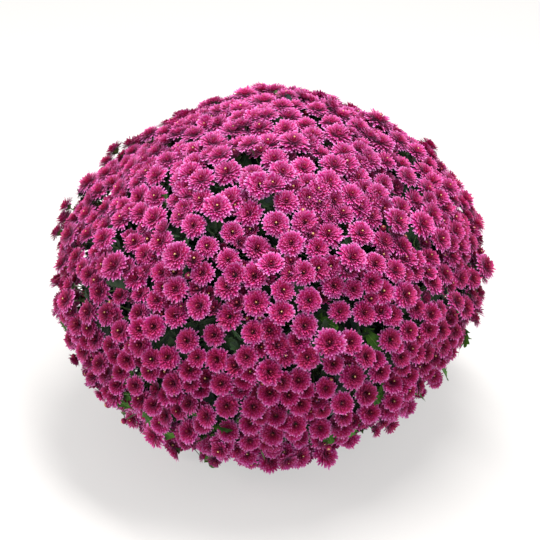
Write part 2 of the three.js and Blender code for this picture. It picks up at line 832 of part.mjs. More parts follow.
const bushShape = bushGeometry();
const bushMesh = new THREE.Mesh(bushShape, new THREE.MeshBasicMaterial());
bushMesh.updateMatrixWorld();

const plant = new THREE.Group();
sites.forEach((site, i) => {
  const places = heads.filter((_, k) => owner[k] === i);
  const { at, inward } = bushBelow(bushMesh, site);
  const fork = at.addScaledVector(inward, -FORK_CLEAR);
  const spray = sprayGeometry(places, fork, sprayLimits[i]);
  const name = "spray_" + String(i + 1).padStart(2, "0");
  plant.add(named(name, spray, COLOURS.petals, 0.75));
});

let foliage = toSolid(bushShape).add(crownSolid());
leafPlaces.forEach((place, i) => {
  const limits = leafGaps[i].map((limit) => limit.forLeaf);
  foliage = foliage.add(toSolid(gapLeaf(place, limits, bushMesh)));
});
for (let k = 0; k < SKIRT_LEAF.count; k++) foliage = foliage.add(toSolid(skirtLeaf(k)));
plant.add(named("foliage", toGeometry(foliage), COLOURS.foliage, 0.7));
plant.add(named("soil", soilGeometry(), COLOURS.soil, 0.95));
plant.add(named("pot", potGeometry(), COLOURS.pot, 0.5));

// The plant leans a little off its pot, so the origin is put under the middle of the whole.
const middle = new THREE.Box3().setFromObject(plant).getCenter(new THREE.Vector3());
plant.position.set(-middle.x, -middle.y, 0);

export default plant;
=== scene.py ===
"""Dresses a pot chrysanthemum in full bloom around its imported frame. Metres, +Z up.

The frame's sprays say where each flower head stands, how it faces and where its stalk forks. Every
head is rebuilt from ray florets that spiral in from its rim to an eye of disc florets, on its own
calyx and stalk. Young heads, late ones and buds fill the gaps among them. Lobed leaves, a woody
crown, the potting mix and the nursery pot come under them.
"""

import logging
import math
from collections.abc import Callable, Iterator, Sequence
from contextlib import contextmanager
from dataclasses import dataclass, field, fields
from enum import Enum
from functools import partial
from typing import Any, Self

import bmesh
import bpy
import numpy as np
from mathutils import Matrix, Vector


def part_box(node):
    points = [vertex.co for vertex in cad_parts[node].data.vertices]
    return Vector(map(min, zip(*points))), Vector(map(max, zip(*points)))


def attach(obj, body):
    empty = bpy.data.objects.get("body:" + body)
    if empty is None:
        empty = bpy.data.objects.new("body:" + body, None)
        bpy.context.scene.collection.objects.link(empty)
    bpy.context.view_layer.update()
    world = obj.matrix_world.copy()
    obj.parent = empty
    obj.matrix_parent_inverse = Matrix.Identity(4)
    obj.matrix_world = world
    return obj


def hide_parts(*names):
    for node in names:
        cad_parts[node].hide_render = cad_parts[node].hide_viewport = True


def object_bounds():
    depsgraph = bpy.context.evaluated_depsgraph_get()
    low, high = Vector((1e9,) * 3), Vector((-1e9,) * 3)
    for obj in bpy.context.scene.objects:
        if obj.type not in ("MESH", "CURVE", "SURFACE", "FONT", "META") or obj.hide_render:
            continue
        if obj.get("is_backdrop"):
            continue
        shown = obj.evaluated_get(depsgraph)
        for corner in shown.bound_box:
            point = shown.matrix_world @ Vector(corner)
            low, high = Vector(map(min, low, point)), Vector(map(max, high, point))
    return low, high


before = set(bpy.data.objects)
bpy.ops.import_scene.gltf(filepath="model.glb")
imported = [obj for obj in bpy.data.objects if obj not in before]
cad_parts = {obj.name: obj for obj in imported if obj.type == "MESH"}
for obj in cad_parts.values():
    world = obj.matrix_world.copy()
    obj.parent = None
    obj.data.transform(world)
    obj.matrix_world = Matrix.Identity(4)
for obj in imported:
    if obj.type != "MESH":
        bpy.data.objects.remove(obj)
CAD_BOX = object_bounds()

LOG = logging.getLogger("chrysanthemum")
MM = 0.001
TURN = 2 * math.pi
SEED = 7
BODY = "root"
WIDEST_GAP = 80 * MM  # between heads that still count as neighbours
SAME_PLACE = 1e-6  # metres within which two packed corners are one
TINY = 1e-9  # keeps a straight stalk's plane from having no direction
RNG = np.random.default_rng(SEED)

Range = tuple[float, float]
Place = tuple[float, float, float]
Stops = tuple[tuple[float, str], ...]  # a colour ramp's places and sRGB hex colours
ByHeight = tuple[Range, ...]  # heights over the floor, and the value at each


class Slot(Enum):
    """The record's material slots."""

    PETALS = "petals"
    FOLIAGE = "foliage"
    SOIL = "soil"
    POT = "pot"


# ------------------------------------------------------------------ colours and nodes


def linear(hex_colour: str) -> tuple[float, float, float, float]:
    """Turns an sRGB hex colour into Blender's linear one.

    Args:
        hex_colour: such as "#C43F92".

    Returns:
        Red, green, blue and an alpha of 1.
    """
    values = [int(hex_colour[i : i + 2], 16) / 255 for i in (1, 3, 5)]
    curved = [v / 12.92 if v <= 0.04045 else ((v + 0.055) / 1.055) ** 2.4 for v in values]
    return (curved[0], curved[1], curved[2], 1.0)


def feed(node: bpy.types.Node, inputs: dict[int | str, Any]) -> None:
    """Sets or links a node's inputs.

    Args:
        node: the node.
        inputs: for each input, a plain value, or the socket or the node that feeds it. An input
            goes by its name, or by its number where a node has several of one name.
    """
    for key, value in inputs.items():
        source = value.outputs[0] if isinstance(value, bpy.types.Node) else value
        if isinstance(source, bpy.types.NodeSocket):
            node.id_data.links.new(source, node.inputs[key])
        else:
            node.inputs[key].default_value = source


def add_node(
    tree: bpy.types.NodeTree,
    kind: str,
    inputs: dict[int | str, Any] | None = None,
    stops: Stops = (),
    **settings: Any,
) -> bpy.types.Node:
    """Adds one node to a tree, with its settings and links.

    Args:
        tree: the tree that gets it.
        kind: the node's type name without the prefix "ShaderNode".
        inputs: for each input, a plain value, or the socket or the node that feeds it. An input
            goes by its name, or by its number where a node has several of one name.
        stops: a colour ramp's stops, from low to high.
        settings: the node's own properties.

    Returns:
        The new node.
    """
    node = tree.nodes.new("ShaderNode" + kind)
    for name, value in settings.items():
        setattr(node, name, value)
    feed(node, inputs or {})
    if stops:
        elements = node.color_ramp.elements
        while len(elements) < len(stops):
            elements.new(0.5)
        for element, (place, colour) in zip(elements, stops, strict=True):
            element.position = place
            element.color = linear(colour)
    return node


def new_material(name: str) -> tuple[bpy.types.Material, bpy.types.NodeTree, bpy.types.Node]:
    """Makes an empty node material.

    Args:
        name: the material's name.

    Returns:
        The material, its tree and its Principled shader.
    """
    material = bpy.data.materials.new(name)
    material.use_nodes = True
    tree = material.node_tree
    return material, tree, tree.nodes["Principled BSDF"]


def read_look(tree: bpy.types.NodeTree) -> list[bpy.types.NodeSocket]:
    """The tone, heart and random share that a piece's "look" attribute holds."""
    look = add_node(tree, "Attribute", attribute_name="look").outputs["Vector"]
    return list(add_node(tree, "SeparateXYZ", {"Vector": look}).outputs)


def read_blade(tree: bpy.types.NodeTree) -> list[bpy.types.NodeSocket]:
    """The places across and along a blade, from 0 to 1."""
    place = add_node(tree, "UVMap", uv_map="blade")
    return list(add_node(tree, "SeparateXYZ", {"Vector": place}).outputs)[:2]


# ------------------------------------------------------------------ finishes


@dataclass(frozen=True)
class FloretFinish:
    """Fresh ray floret: a thin living petal that unfolded from a bud."""

    # Its soft skin scatters the light, so it is matte and faintly velvety at the rim of a head.
    # The colour lies densest at its root and thins out to a pale tip, which makes a head's heart
    # deep. Where the dark roots show between the florets they are also painted shade, which draws
    # each floret apart from the next.
    name: str = "chrysanthemum_ray_floret"
    colours: Stops = (
        (0.0, "#600826"),
        (0.24, "#880C3C"),
        (0.42, "#AC0C56"),
        (0.6, "#C01E7C"),
        (0.8, "#CC429E"),
        (0.97, "#D66CBE"),
    )
    tip: str = "#EEAADA"
    tip_from: float = 0.68  # where the pale tip begins
    tip_share: Range = (0.68, 0.05)  # how pale it is at the rim and in the heart
    tip_depth: float = 0.7  # how deep in a head the tips are no paler than in its heart
    heart_shift: float = 0.72  # how far the heart's florets fall short of the pale end
    rim_start: float = 0.2  # where the rim's florets start from at their root
    veins: float = 7.0  # across one floret, about 0.6 mm apart, which show only from close by
    vein_shade: Range = (0.9, 1.06)
    vein_relief: float = 0.05 * MM
    vein_strength: float = 0.5
    hue: Range = (0.488, 0.512)
    velvet: Range = (0.65, 0.05)  # sheen at the rim and in the heart
    velvet_tint: str = "#F09CDC"
    velvet_roughness: float = 0.42
    roughness: Range = (0.48, 0.65)
    specular: float = 0.2

    def make(self) -> bpy.types.Material:
        """Builds the material.

        Returns:
            The material.
        """
        material, tree, shader = new_material(self.name)
        # heart: its share falls on the top and lowest heads, to paint them paler: painted light
        tone, heart, chance = read_look(tree)
        across, along = read_blade(tree)
        reach, start = (
            add_node(tree, "Math", {0: heart, 1: -less, 2: full}, operation="MULTIPLY_ADD")
            for less, full in ((self.heart_shift, 1.0), (self.rim_start, self.rim_start))
        )
        ramped = add_node(tree, "MapRange", {"Value": along, "To Min": start, "To Max": reach})
        body = add_node(tree, "ValToRGB", {"Fac": ramped}, self.colours)
        rim, core = self.tip_share
        # tip paleness by the heart's share, which also carries the painted light by height
        fading = {"Value": heart, "From Max": self.tip_depth, "To Min": rim, "To Max": core}
        pale = add_node(tree, "MapRange", fading)
        tipping = {"Value": along, "From Min": self.tip_from, "To Max": pale}
        tipped = add_node(tree, "MapRange", tipping)
        blend = {"Factor": tipped, "A": body, "B": linear(self.tip)}
        mixed = add_node(tree, "Mix", blend, data_type="RGBA").outputs["Result"]
        stripe = add_node(tree, "Math", {0: across, 1: TURN * self.veins}, operation="MULTIPLY")
        wave = add_node(tree, "Math", {0: stripe}, operation="SINE")
        dark, light = self.vein_shade
        shading = {"Value": wave, "From Min": -1.0, "To Min": dark, "To Max": light}
        shade = add_node(tree, "MapRange", shading)
        value = add_node(tree, "Math", {0: shade, 1: tone}, operation="MULTIPLY")
        hue, rough, velvet = (
            add_node(tree, "MapRange", {"Value": by, "To Min": low, "To Max": high})
            for (low, high), by in (
                (self.hue, chance),
                (self.roughness, chance),
                (self.velvet, heart),
            )
        )
        tinted = add_node(tree, "HueSaturation", {"Hue": hue, "Value": value, "Color": mixed})
        relief = {"Height": wave, "Distance": self.vein_relief, "Strength": self.vein_strength}
        feed(
            shader,
            {
                "Base Color": tinted,
                "Roughness": rough,
                "Normal": add_node(tree, "Bump", relief),
                "Specular IOR Level": self.specular,
                "Sheen Weight": velvet,
                "Sheen Roughness": self.velvet_roughness,
                "Sheen Tint": linear(self.velvet_tint),
            },
        )
        return material


@dataclass(frozen=True)
class DiscFinish:
    """Unopened disc florets in the eye of a head: small waxy knobs that grew packed together."""

    # The dimples among the knobs stay dark, and the knobs turn from red-brown to cream as they
    # ripen, so that a ripe eye is a pale dot in the deep heart.
    name: str = "chrysanthemum_disc_floret"
    colours: Stops = ((0.0, "#98303E"), (0.45, "#A86C3C"), (0.9, "#ECC48C"))
    grain: float = 0.8 * MM  # real knobs are half as wide, too fine to show, so it is coarser
    relief: float = 0.3 * MM
    strength: float = 0.8
    roughness: float = 0.5

    def make(self) -> bpy.types.Material:
        """Builds the material.

        Returns:
            The material.
        """
        material, tree, shader = new_material(self.name)
        tone, _, _ = read_look(tree)
        place = add_node(tree, "TexCoord").outputs["Object"]
        cells = add_node(tree, "TexVoronoi", {"Vector": place, "Scale": 1 / self.grain})
        away = cells.outputs["Distance"]
        dots = add_node(tree, "Math", {0: tone, 1: away}, operation="SUBTRACT")
        relief = {"Height": away, "Distance": self.relief, "Strength": self.strength}
        feed(
            shader,
            {
                "Base Color": add_node(tree, "ValToRGB", {"Fac": dots}, self.colours),
                "Normal": add_node(tree, "Bump", relief, invert=True),
                "Roughness": self.roughness,
            },
        )
        return material


@dataclass(frozen=True)
class LeafFinish:
    """Chrysanthemum leaf: a soft living blade with sunken veins and fine down on it."""

    # Its down takes the gloss off, so it is dull and dark green, with a net of paler veins. Leaves
    # deep in the bush get a painted shade of dark bluish green, where little light reaches them.
    name: str = "chrysanthemum_leaf"
    colours: Stops = ((0.3, "#1A3612"), (0.7, "#467620"))
    vein: str = "#628C38"
    # painted shade: the dark bluish green that leaves deep in the bush are mixed towards
    deep: str = "#1A2830"
    mottle: float = 9 * MM
    detail: float = 4.0
    mottle_relief: float = 0.5 * MM
    mottle_strength: float = 0.5
    midrib: float = 0.045  # half its width, as a share of the leaf's
    side_veins: float = 7.0
    side_vein: float = 0.09  # half its width, as a share of the distance between two
    side_strength: float = 0.75
    sweep: float = 0.9  # how far the side veins run forward on their way out
    vein_relief: float = 0.35 * MM
    vein_strength: float = 0.7
    roughness: Range = (0.5, 0.75)
    specular: float = 0.25
    down: float = 0.05
    down_roughness: float = 0.5

    def make(self) -> bpy.types.Material:
        """Builds the material.

        Returns:
            The material.
        """
        material, tree, shader = new_material(self.name)
        # each leaf's tone, and its share of painted shade
        tone, deep, _ = read_look(tree)
        across, along = read_blade(tree)
        centred = add_node(tree, "Math", {0: across, 1: 0.5}, operation="SUBTRACT")
        aside = add_node(tree, "Math", {0: centred}, operation="ABSOLUTE")
        edges = {"Value": aside, "From Max": self.midrib, "To Min": 1.0, "To Max": 0.0}
        midrib = add_node(tree, "MapRange", edges)
        swept = add_node(
            tree, "Math", {0: aside, 1: -self.sweep, 2: along}, operation="MULTIPLY_ADD"
        )
        rows = add_node(tree, "Math", {0: swept, 1: self.side_veins}, operation="MULTIPLY")
        wave = add_node(tree, "Math", {0: rows, 1: 0.5}, operation="PINGPONG")
        edges = {"Value": wave, "From Max": self.side_vein, "To Min": self.side_strength}
        side = add_node(tree, "MapRange", edges | {"To Max": 0.0})
        veins = add_node(tree, "Math", {0: midrib, 1: side}, operation="MAXIMUM")
        place = add_node(tree, "TexCoord").outputs["Object"]
        mottle = add_node(
            tree, "TexNoise", {"Vector": place, "Scale": 1 / self.mottle, "Detail": self.detail}
        )
        colour = add_node(tree, "ValToRGB", {"Fac": mottle}, self.colours).outputs["Color"]
        # the paler veins, then the painted shade of leaves deep in the bush
        for share, other in ((veins, self.vein), (deep, self.deep)):
            blend = {"Factor": share, "A": colour, "B": linear(other)}
            colour = add_node(tree, "Mix", blend, data_type="RGBA").outputs["Result"]
        toned = add_node(tree, "HueSaturation", {"Value": tone, "Color": colour})
        relief = {"Height": veins, "Distance": self.vein_relief, "Strength": self.vein_strength}
        sunken = add_node(tree, "Bump", relief, invert=True)
        relief = {
            "Height": mottle,
            "Distance": self.mottle_relief,
            "Strength": self.mottle_strength,
            "Normal": sunken,
        }
        low, high = self.roughness
        dulling = {"Value": mottle, "To Min": low, "To Max": high}
        feed(
            shader,
            {
                "Base Color": toned,
                "Normal": add_node(tree, "Bump", relief),
                "Roughness": add_node(tree, "MapRange", dulling),
                "Specular IOR Level": self.specular,
                "Sheen Weight": self.down,
                "Sheen Roughness": self.down_roughness,
            },
        )
        return material


@dataclass(frozen=True)
class GrainedFinish:
    """A dull natural surface whose colour and relief follow one grain."""

    name: str
    colours: Stops  # from the hollows to the crests
    grain: float
    detail: float
    relief: float
    strength: float
    roughness: float
    drawn_out: float = 1.0  # the pattern's scale along Z, below 1 where it is drawn out upwards
    down: float = 0.0
    has_look: bool = False  # whether its pieces say how bright each copy is

    def make(self) -> bpy.types.Material:
        """Builds the material.

        Returns:
            The material.
        """
        material, tree, shader = new_material(self.name)
        place = add_node(tree, "TexCoord").outputs["Object"]
        drawn = add_node(tree, "Mapping", {"Vector": place, "Scale": (1, 1, self.drawn_out)})
        noise = add_node(
            tree, "TexNoise", {"Vector": drawn, "Scale": 1 / self.grain, "Detail": self.detail}
        )
        colour = add_node(tree, "ValToRGB", {"Fac": noise}, self.colours)
        if self.has_look:
            tone, _, _ = read_look(tree)
            colour = add_node(tree, "HueSaturation", {"Value": tone, "Color": colour})
        relief = {"Height": noise, "Distance": self.relief, "Strength": self.strength}
        feed(
            shader,
            {
                "Base Color": colour,
                "Normal": add_node(tree, "Bump", relief),
                "Roughness": self.roughness,
                "Sheen Weight": self.down,
            },
        )
        return material


@dataclass(frozen=True)
class StemFinish(GrainedFinish):
    """Green stem: soft growth that hasn't turned to wood."""

    # Its down and faint streaks make it a dull green, paler than the leaves. Real streaks are
    # under a millimetre wide and are drawn coarser so that they show.
    name: str = "chrysanthemum_green_stem"
    colours: Stops = ((0.32, "#33501F"), (0.7, "#7E9A50"))
    grain: float = 5 * MM
    detail: float = 5.0
    relief: float = 0.3 * MM
    strength: float = 0.6
    roughness: float = 0.6
    down: float = 0.15
    has_look: bool = True


@dataclass(frozen=True)
class BarkFinish(GrainedFinish):
    """Woody stem: old growth whose skin has split lengthwise."""

    # The cracks are dark and the ridges a dull grey-brown, so the crown shows as dry wood.
    name: str = "chrysanthemum_woody_stem"
    colours: Stops = ((0.35, "#2E2416"), (0.68, "#76684A"))
    grain: float = 6 * MM
    detail: float = 6.0
    relief: float = 0.8 * MM
    strength: float = 0.9
    roughness: float = 0.85
    drawn_out: float = 0.25


@dataclass(frozen=True)
class PeatFinish(GrainedFinish):
    """Moist peat with composted bark, sieved to crumbs of a few millimetres."""

    # It drinks the light: near black in its hollows and red-brown on its crumbs, with no gloss.
    name: str = "peat_and_bark_mix"
    colours: Stops = ((0.3, "#120C08"), (0.52, "#33241A"), (0.75, "#6A4E36"))
    grain: float = 4 * MM
    detail: float = 8.0
    relief: float = 1.5 * MM
    strength: float = 1.0
    roughness: float = 0.92


@dataclass(frozen=True)
class PotFinish:
    """Injection-moulded polypropylene, black with some grey in it."""

    # The mould's spark-eroded wall leaves it satin, with faint broad marks where it flowed.
    name: str = "moulded_polypropylene"
    colours: Stops = ((0.35, "#22272A"), (0.75, "#343B3D"))
    flow: float = 60 * MM
    flow_detail: float = 3.0
    grain: float = 1.2 * MM  # the mould's own is a tenth of this, too fine to show
    grain_detail: float = 2.0
    relief: float = 0.12 * MM
    strength: float = 0.35
    roughness: Range = (0.38, 0.55)
    ior: float = 1.49

    def make(self) -> bpy.types.Material:
        """Builds the material.

        Returns:
            The material.
        """
        material, tree, shader = new_material(self.name)
        place = add_node(tree, "TexCoord").outputs["Object"]
        sizes = ((self.flow, self.flow_detail), (self.grain, self.grain_detail))
        broad, fine = (
            add_node(tree, "TexNoise", {"Vector": place, "Scale": 1 / size, "Detail": detail})
            for size, detail in sizes
        )
        low, high = self.roughness
        dulling = {"Value": broad, "To Min": low, "To Max": high}
        relief = {"Height": fine, "Distance": self.relief, "Strength": self.strength}
        feed(
            shader,
            {
                "Base Color": add_node(tree, "ValToRGB", {"Fac": broad}, self.colours),
                "Roughness": add_node(tree, "MapRange", dulling),
                "Normal": add_node(tree, "Bump", relief),
                "IOR": self.ior,
            },
        )
        return material


@dataclass(frozen=True)
class FloorFinish:
    """Uncoated studio paper over a light table."""

    # The light through it keeps it near white, while the plant's wide shadow still shows on it.
    name: str = "studio_paper"
    colour: str = "#9E9B98"
    light: str = "#FFFFFF"
    glow: float = 0.5
    roughness: float = 0.9
    specular: float = 0.1

    def make(self) -> bpy.types.Material:
        """Builds the material.

        Returns:
            The material.
        """
        material, _, shader = new_material(self.name)
        feed(
            shader,
            {
                "Base Color": linear(self.colour),
                "Roughness": self.roughness,
                "Specular IOR Level": self.specular,
                "Emission Color": linear(self.light),
                "Emission Strength": self.glow,
            },
        )
        return material


@dataclass(frozen=True)
class Finishes:
    """Every finish of the plant and its pot, built once."""

    floret: bpy.types.Material = field(default_factory=FloretFinish().make)
    disc: bpy.types.Material = field(default_factory=DiscFinish().make)
    leaf: bpy.types.Material = field(default_factory=LeafFinish().make)
    stem: bpy.types.Material = field(default_factory=StemFinish().make)
    bark: bpy.types.Material = field(default_factory=BarkFinish().make)
    peat: bpy.types.Material = field(default_factory=PeatFinish().make)
    pot: bpy.types.Material = field(default_factory=PotFinish().make)


# ------------------------------------------------------------------ modelling by hand


def start_from(
    add: Callable[..., set[str]], name: str, place: Place = (0, 0, 0), **sizes: Any
) -> bpy.types.Object:
    """Adds the primitive that a piece is shaped from, with everything else deselected.

    Args:
        add: the operator that adds the primitive.
        name: the piece's name.
        place: where its middle is.
        sizes: the primitive's sizes.

    Returns:
        The new piece.
    """
    bpy.ops.object.select_all(action="DESELECT")
    add(location=place, **sizes)
    piece = bpy.context.active_object
    piece.name = name
    return piece


@contextmanager
def edit_mode(piece: bpy.types.Object) -> Iterator[bmesh.types.BMesh]:
    """Opens a piece in edit mode with nothing selected, and leaves it again.

    Args:
        piece: the piece.

    Yields:
        Its mesh in edit mode.
    """
    bpy.ops.object.select_all(action="DESELECT")
    bpy.context.view_layer.objects.active = piece
    piece.select_set(True)
    bpy.ops.object.mode_set(mode="EDIT")
    bpy.ops.mesh.select_all(action="DESELECT")
    yield bmesh.from_edit_mesh(piece.data)
    bpy.ops.object.mode_set(mode="OBJECT")
    piece.select_set(False)


def pick(mesh: bmesh.types.BMesh, chosen: Callable[[bmesh.types.BMVert], bool]) -> None:
    """Selects only the vertices that are chosen, with the faces and edges between them.

    Args:
        mesh: the mesh in edit mode.
        chosen: whether a vertex is chosen.
    """
    for vertex in mesh.verts:
        vertex.select_set(chosen(vertex))
    mesh.select_flush(True)


def scale_all(x: float, y: float, z: float) -> None:
    """Scales the whole mesh in edit mode about the origin."""
    bpy.ops.mesh.select_all(action="SELECT")
    bpy.ops.transform.resize(value=(x, y, z), center_override=(0, 0, 0))


@dataclass(frozen=True)
class Pattern:
    """A small shape that is modelled once and copied many times.

    Its points run from 0 to 1 along Y, or along Z for a rod, and its UV says where a point was on
    the flat sheet that it was shaped from.
    """

    points: np.ndarray
    corners: np.ndarray
    sizes: np.ndarray
    uv: np.ndarray

    @classmethod
    def taken_from(cls, piece: bpy.types.Object) -> Self:
        """Reads a modelled piece into a pattern and removes the piece.

        Args:
            piece: the modelled piece.

        Returns:
            Its pattern.
        """
        mesh = piece.data
        points = np.empty(len(mesh.vertices) * 3)
        mesh.vertices.foreach_get("co", points)
        corners = np.empty(len(mesh.loops), np.int32)
        mesh.loops.foreach_get("vertex_index", corners)
        sizes = np.empty(len(mesh.polygons), np.int32)
        mesh.polygons.foreach_get("loop_total", sizes)
        flat = np.empty(len(mesh.loops) * 2)
        mesh.uv_layers[0].data.foreach_get("uv", flat)
        uv = np.zeros((len(mesh.vertices), 2))
        uv[corners] = flat.reshape(-1, 2)
        bpy.data.objects.remove(piece)
        bpy.data.meshes.remove(mesh)
        return cls(points.reshape(-1, 3), corners, sizes, uv)


@dataclass(frozen=True)
class Row:
    """One row of points across a blade, as shares of its length and half width."""

    along: float
    wide: float
    cup: float = 0.0  # how far the edges stand over the midrib
    sweep: float = 0.0  # how far the edges lie ahead of the midrib


@dataclass(frozen=True)
class Blade:
    """A petal or leaf, 1 long and up to 1 wide."""

    rows: tuple[Row, ...]  # from root to tip
    columns: int  # how many faces lie across it, 1 or an even number
    cupping: float = 1.6  # how late towards the edges a cupped row turns up

    def model(self) -> Pattern:
        """Shapes a flat grid into the blade, row by row.

        Returns:
            The pattern.
        """
        steps = len(self.rows) - 1
        add = bpy.ops.mesh.primitive_grid_add
        piece = start_from(
            add, "blade", x_subdivisions=self.columns, y_subdivisions=steps, size=1
        )
        with edit_mode(piece) as mesh:
            rank = {v.index: round((v.co.y + 0.5) * steps) for v in mesh.verts}
            share = {v.index: round(abs(2 * v.co.x), 4) for v in mesh.verts}
            for k, row in enumerate(self.rows):
                pick(mesh, lambda v: rank[v.index] == k)
                bpy.ops.transform.translate(value=(0, row.along - k / steps + 0.5, 0))
                bpy.ops.transform.resize(value=(row.wide, 1, 1), center_override=(0, 0, 0))
                for aside in sorted(set(share.values()) - {0}):
                    pick(mesh, lambda v: rank[v.index] == k and share[v.index] == aside)
                    lift = row.cup * aside**self.cupping
                    bpy.ops.transform.translate(value=(0, row.sweep * aside, lift))
        return Pattern.taken_from(piece)


@dataclass(frozen=True)
class Rod:
    """A stalk or branch, of radius 1 and from 0 to 1 along Z."""

    sides: int
    sections: int

    def model(self) -> Pattern:
        """Shapes an open cylinder into the rod and cuts it across into sections.

        Returns:
            The pattern.
        """
        add = bpy.ops.mesh.primitive_cylinder_add
        piece = start_from(
            add, "rod", vertices=self.sides, radius=1, depth=1, end_fill_type="NOTHING"
        )
        with edit_mode(piece):
            bpy.ops.mesh.select_all(action="SELECT")
            bpy.ops.transform.translate(value=(0, 0, 0.5))
            for k in range(1, self.sections):
                bpy.ops.mesh.select_all(action="SELECT")
                bpy.ops.mesh.bisect(plane_co=(0, 0, k / self.sections), plane_no=(0, 0, 1))
        return Pattern.taken_from(piece)


@dataclass(frozen=True)
class Calyx:
    """The green cup under a head, with its sizes as shares of its own."""

    sides: int = 6
    neck_radius: float = 0.22
    neck_height: float = 0.2
    swelling: float = 3.0
    swelling_rise: float = 0.1
    cup_height: float = 0.32
    flare: float = 1.5
    bract: float = 0.2

    def model(self) -> Pattern:
        """Shapes a short tube into a neck that swells and ends in a ring of bracts.

        Returns:
            The pattern.
        """
        add = bpy.ops.mesh.primitive_cylinder_add
        sizes = {"vertices": self.sides, "radius": self.neck_radius, "depth": self.neck_height}
        piece = start_from(add, "calyx", end_fill_type="NOTHING", **sizes)
        with edit_mode(piece) as mesh:
            pick(mesh, lambda v: v.co.z > 0)
            bpy.ops.transform.resize(value=(self.swelling, self.swelling, 1))
            bpy.ops.transform.translate(value=(0, 0, self.swelling_rise))
            bpy.ops.mesh.extrude_edges_move(
                TRANSFORM_OT_translate={"value": (0, 0, self.cup_height)}
            )
            bpy.ops.transform.resize(value=(self.flare, self.flare, 1))
            rim = [v for v in mesh.verts if v.select]
            rim.sort(key=lambda v: math.atan2(v.co.y, v.co.x))
            bracts = {v.index for v in rim[::2]}
            pick(mesh, lambda v: v.index in bracts)
            bpy.ops.transform.translate(value=(0, 0, self.bract))
        return Pattern.taken_from(piece)


@dataclass(frozen=True)
class Bud:
    """A closed head whose folded florets show as ribs, with sizes as shares of its radius."""

    segments: int = 10
    rings: int = 5
    ribbed: Range = (-0.3, 0.95)  # from and to which height
    waist: float = 0.84  # of the radius, between the ribs
    top: float = 0.8  # from which height it is pressed in
    top_drop: float = 0.12
    height: float = 0.85

    def model(self) -> Pattern:
        """Shapes a ball into the bud.

        Returns:
            The pattern.
        """
        add = bpy.ops.mesh.primitive_uv_sphere_add
        piece = start_from(
            add, "bud", segments=self.segments, ring_count=self.rings, radius=1
        )
        step = TURN / self.segments
        low, high = self.ribbed
        with edit_mode(piece) as mesh:
            pick(
                mesh,
                lambda v: low < v.co.z < high
                and round(math.atan2(v.co.y, v.co.x) / step) % 2 == 1,
            )
            bpy.ops.transform.resize(value=(self.waist, self.waist, 1), center_override=(0, 0, 0))
            pick(mesh, lambda v: v.co.z > self.top)
            bpy.ops.transform.translate(value=(0, 0, -self.top_drop))
            scale_all(1, 1, self.height)
        return Pattern.taken_from(piece)


@dataclass(frozen=True)
class Eye:
    """The low dome of disc florets, with its sizes as shares of its radius."""

    open_below: float = -0.9
    height: float = 0.7

    def model(self) -> Pattern:
        """Shapes a small ball into the dome, which is open below.

        Returns:
            The pattern.
        """
        piece = start_from(bpy.ops.mesh.primitive_ico_sphere_add, "eye", subdivisions=1, radius=1)
        with edit_mode(piece) as mesh:
            pick(mesh, lambda v: v.co.z < self.open_below)
            bpy.ops.mesh.delete(type="VERT")
            scale_all(1, 1, self.height)
        return Pattern.taken_from(piece)


@dataclass(frozen=True)
class Chip:
    """A chip of bark, with its sizes as shares of half its length."""

    width: float = 0.6
    thickness: float = 0.25
    taper: Range = (0.45, 0.6)  # of its width and thickness at its thin end

    def model(self) -> Pattern:
        """Shapes a cube into a flat chip that is thin at one end.

        Returns:
            The pattern.
        """
        piece = start_from(bpy.ops.mesh.primitive_cube_add, "chip", size=2)
        with edit_mode(piece) as mesh:
            pick(mesh, lambda v: v.co.x > 0)
            bpy.ops.transform.resize(value=(1, *self.taper), center_override=(0, 0, 0))
            scale_all(1, self.width, self.thickness)
        return Pattern.taken_from(piece)


# ------------------------------------------------------------------ places and copies


def unit(vectors: np.ndarray) -> np.ndarray:
    """Each vector at length 1."""
    return vectors / np.maximum(np.linalg.norm(vectors, axis=-1, keepdims=True), 1e-12)


def level(turns: np.ndarray) -> np.ndarray:
    """The level direction at each turn round Z, in radians."""
    return np.stack([np.cos(turns), np.sin(turns), np.zeros(len(turns))], axis=1)


def squared(vectors: np.ndarray, axes: np.ndarray) -> np.ndarray:
    """Each vector turned square to its axis, at length 1."""
    return unit(vectors - axes * (vectors * axes).sum(axis=1, keepdims=True))


def turned_towards(axes: np.ndarray, turns: np.ndarray) -> np.ndarray:
    """The direction at a turn round each axis.

    Args:
        axes: the axes, at length 1.
        turns: the turn round each, in radians.

    Returns:
        A direction square to each axis.
    """
    helper = np.where(np.abs(axes[:, 2:3]) < 0.9, [[0.0, 0.0, 1.0]], [[1.0, 0.0, 0.0]])
    across = unit(np.cross(helper, axes))
    along = np.cross(axes, across)
    return across * np.cos(turns)[:, None] + along * np.sin(turns)[:, None]


def at_height(table: ByHeight, places: np.ndarray) -> np.ndarray:
    """The table's value at the height of each place."""
    return np.interp(places[:, 2], *zip(*table, strict=True))


@dataclass
class Group:
    """Things of one kind: each field is an array with one row for each of them."""

    def __len__(self) -> int:
        """How many there are."""
        return len(getattr(self, fields(self)[0].name))

    def only(self, chosen: np.ndarray) -> Self:
        """The chosen ones alone, by their indices or by whether each is chosen."""
        return type(self)(*(getattr(self, part.name)[chosen] for part in fields(self)))

    def with_more(self, others: Self) -> Self:
        """These and others together."""
        pairs = ((getattr(self, part.name), getattr(others, part.name)) for part in fields(self))
        return type(self)(*(np.concatenate(pair) for pair in pairs))


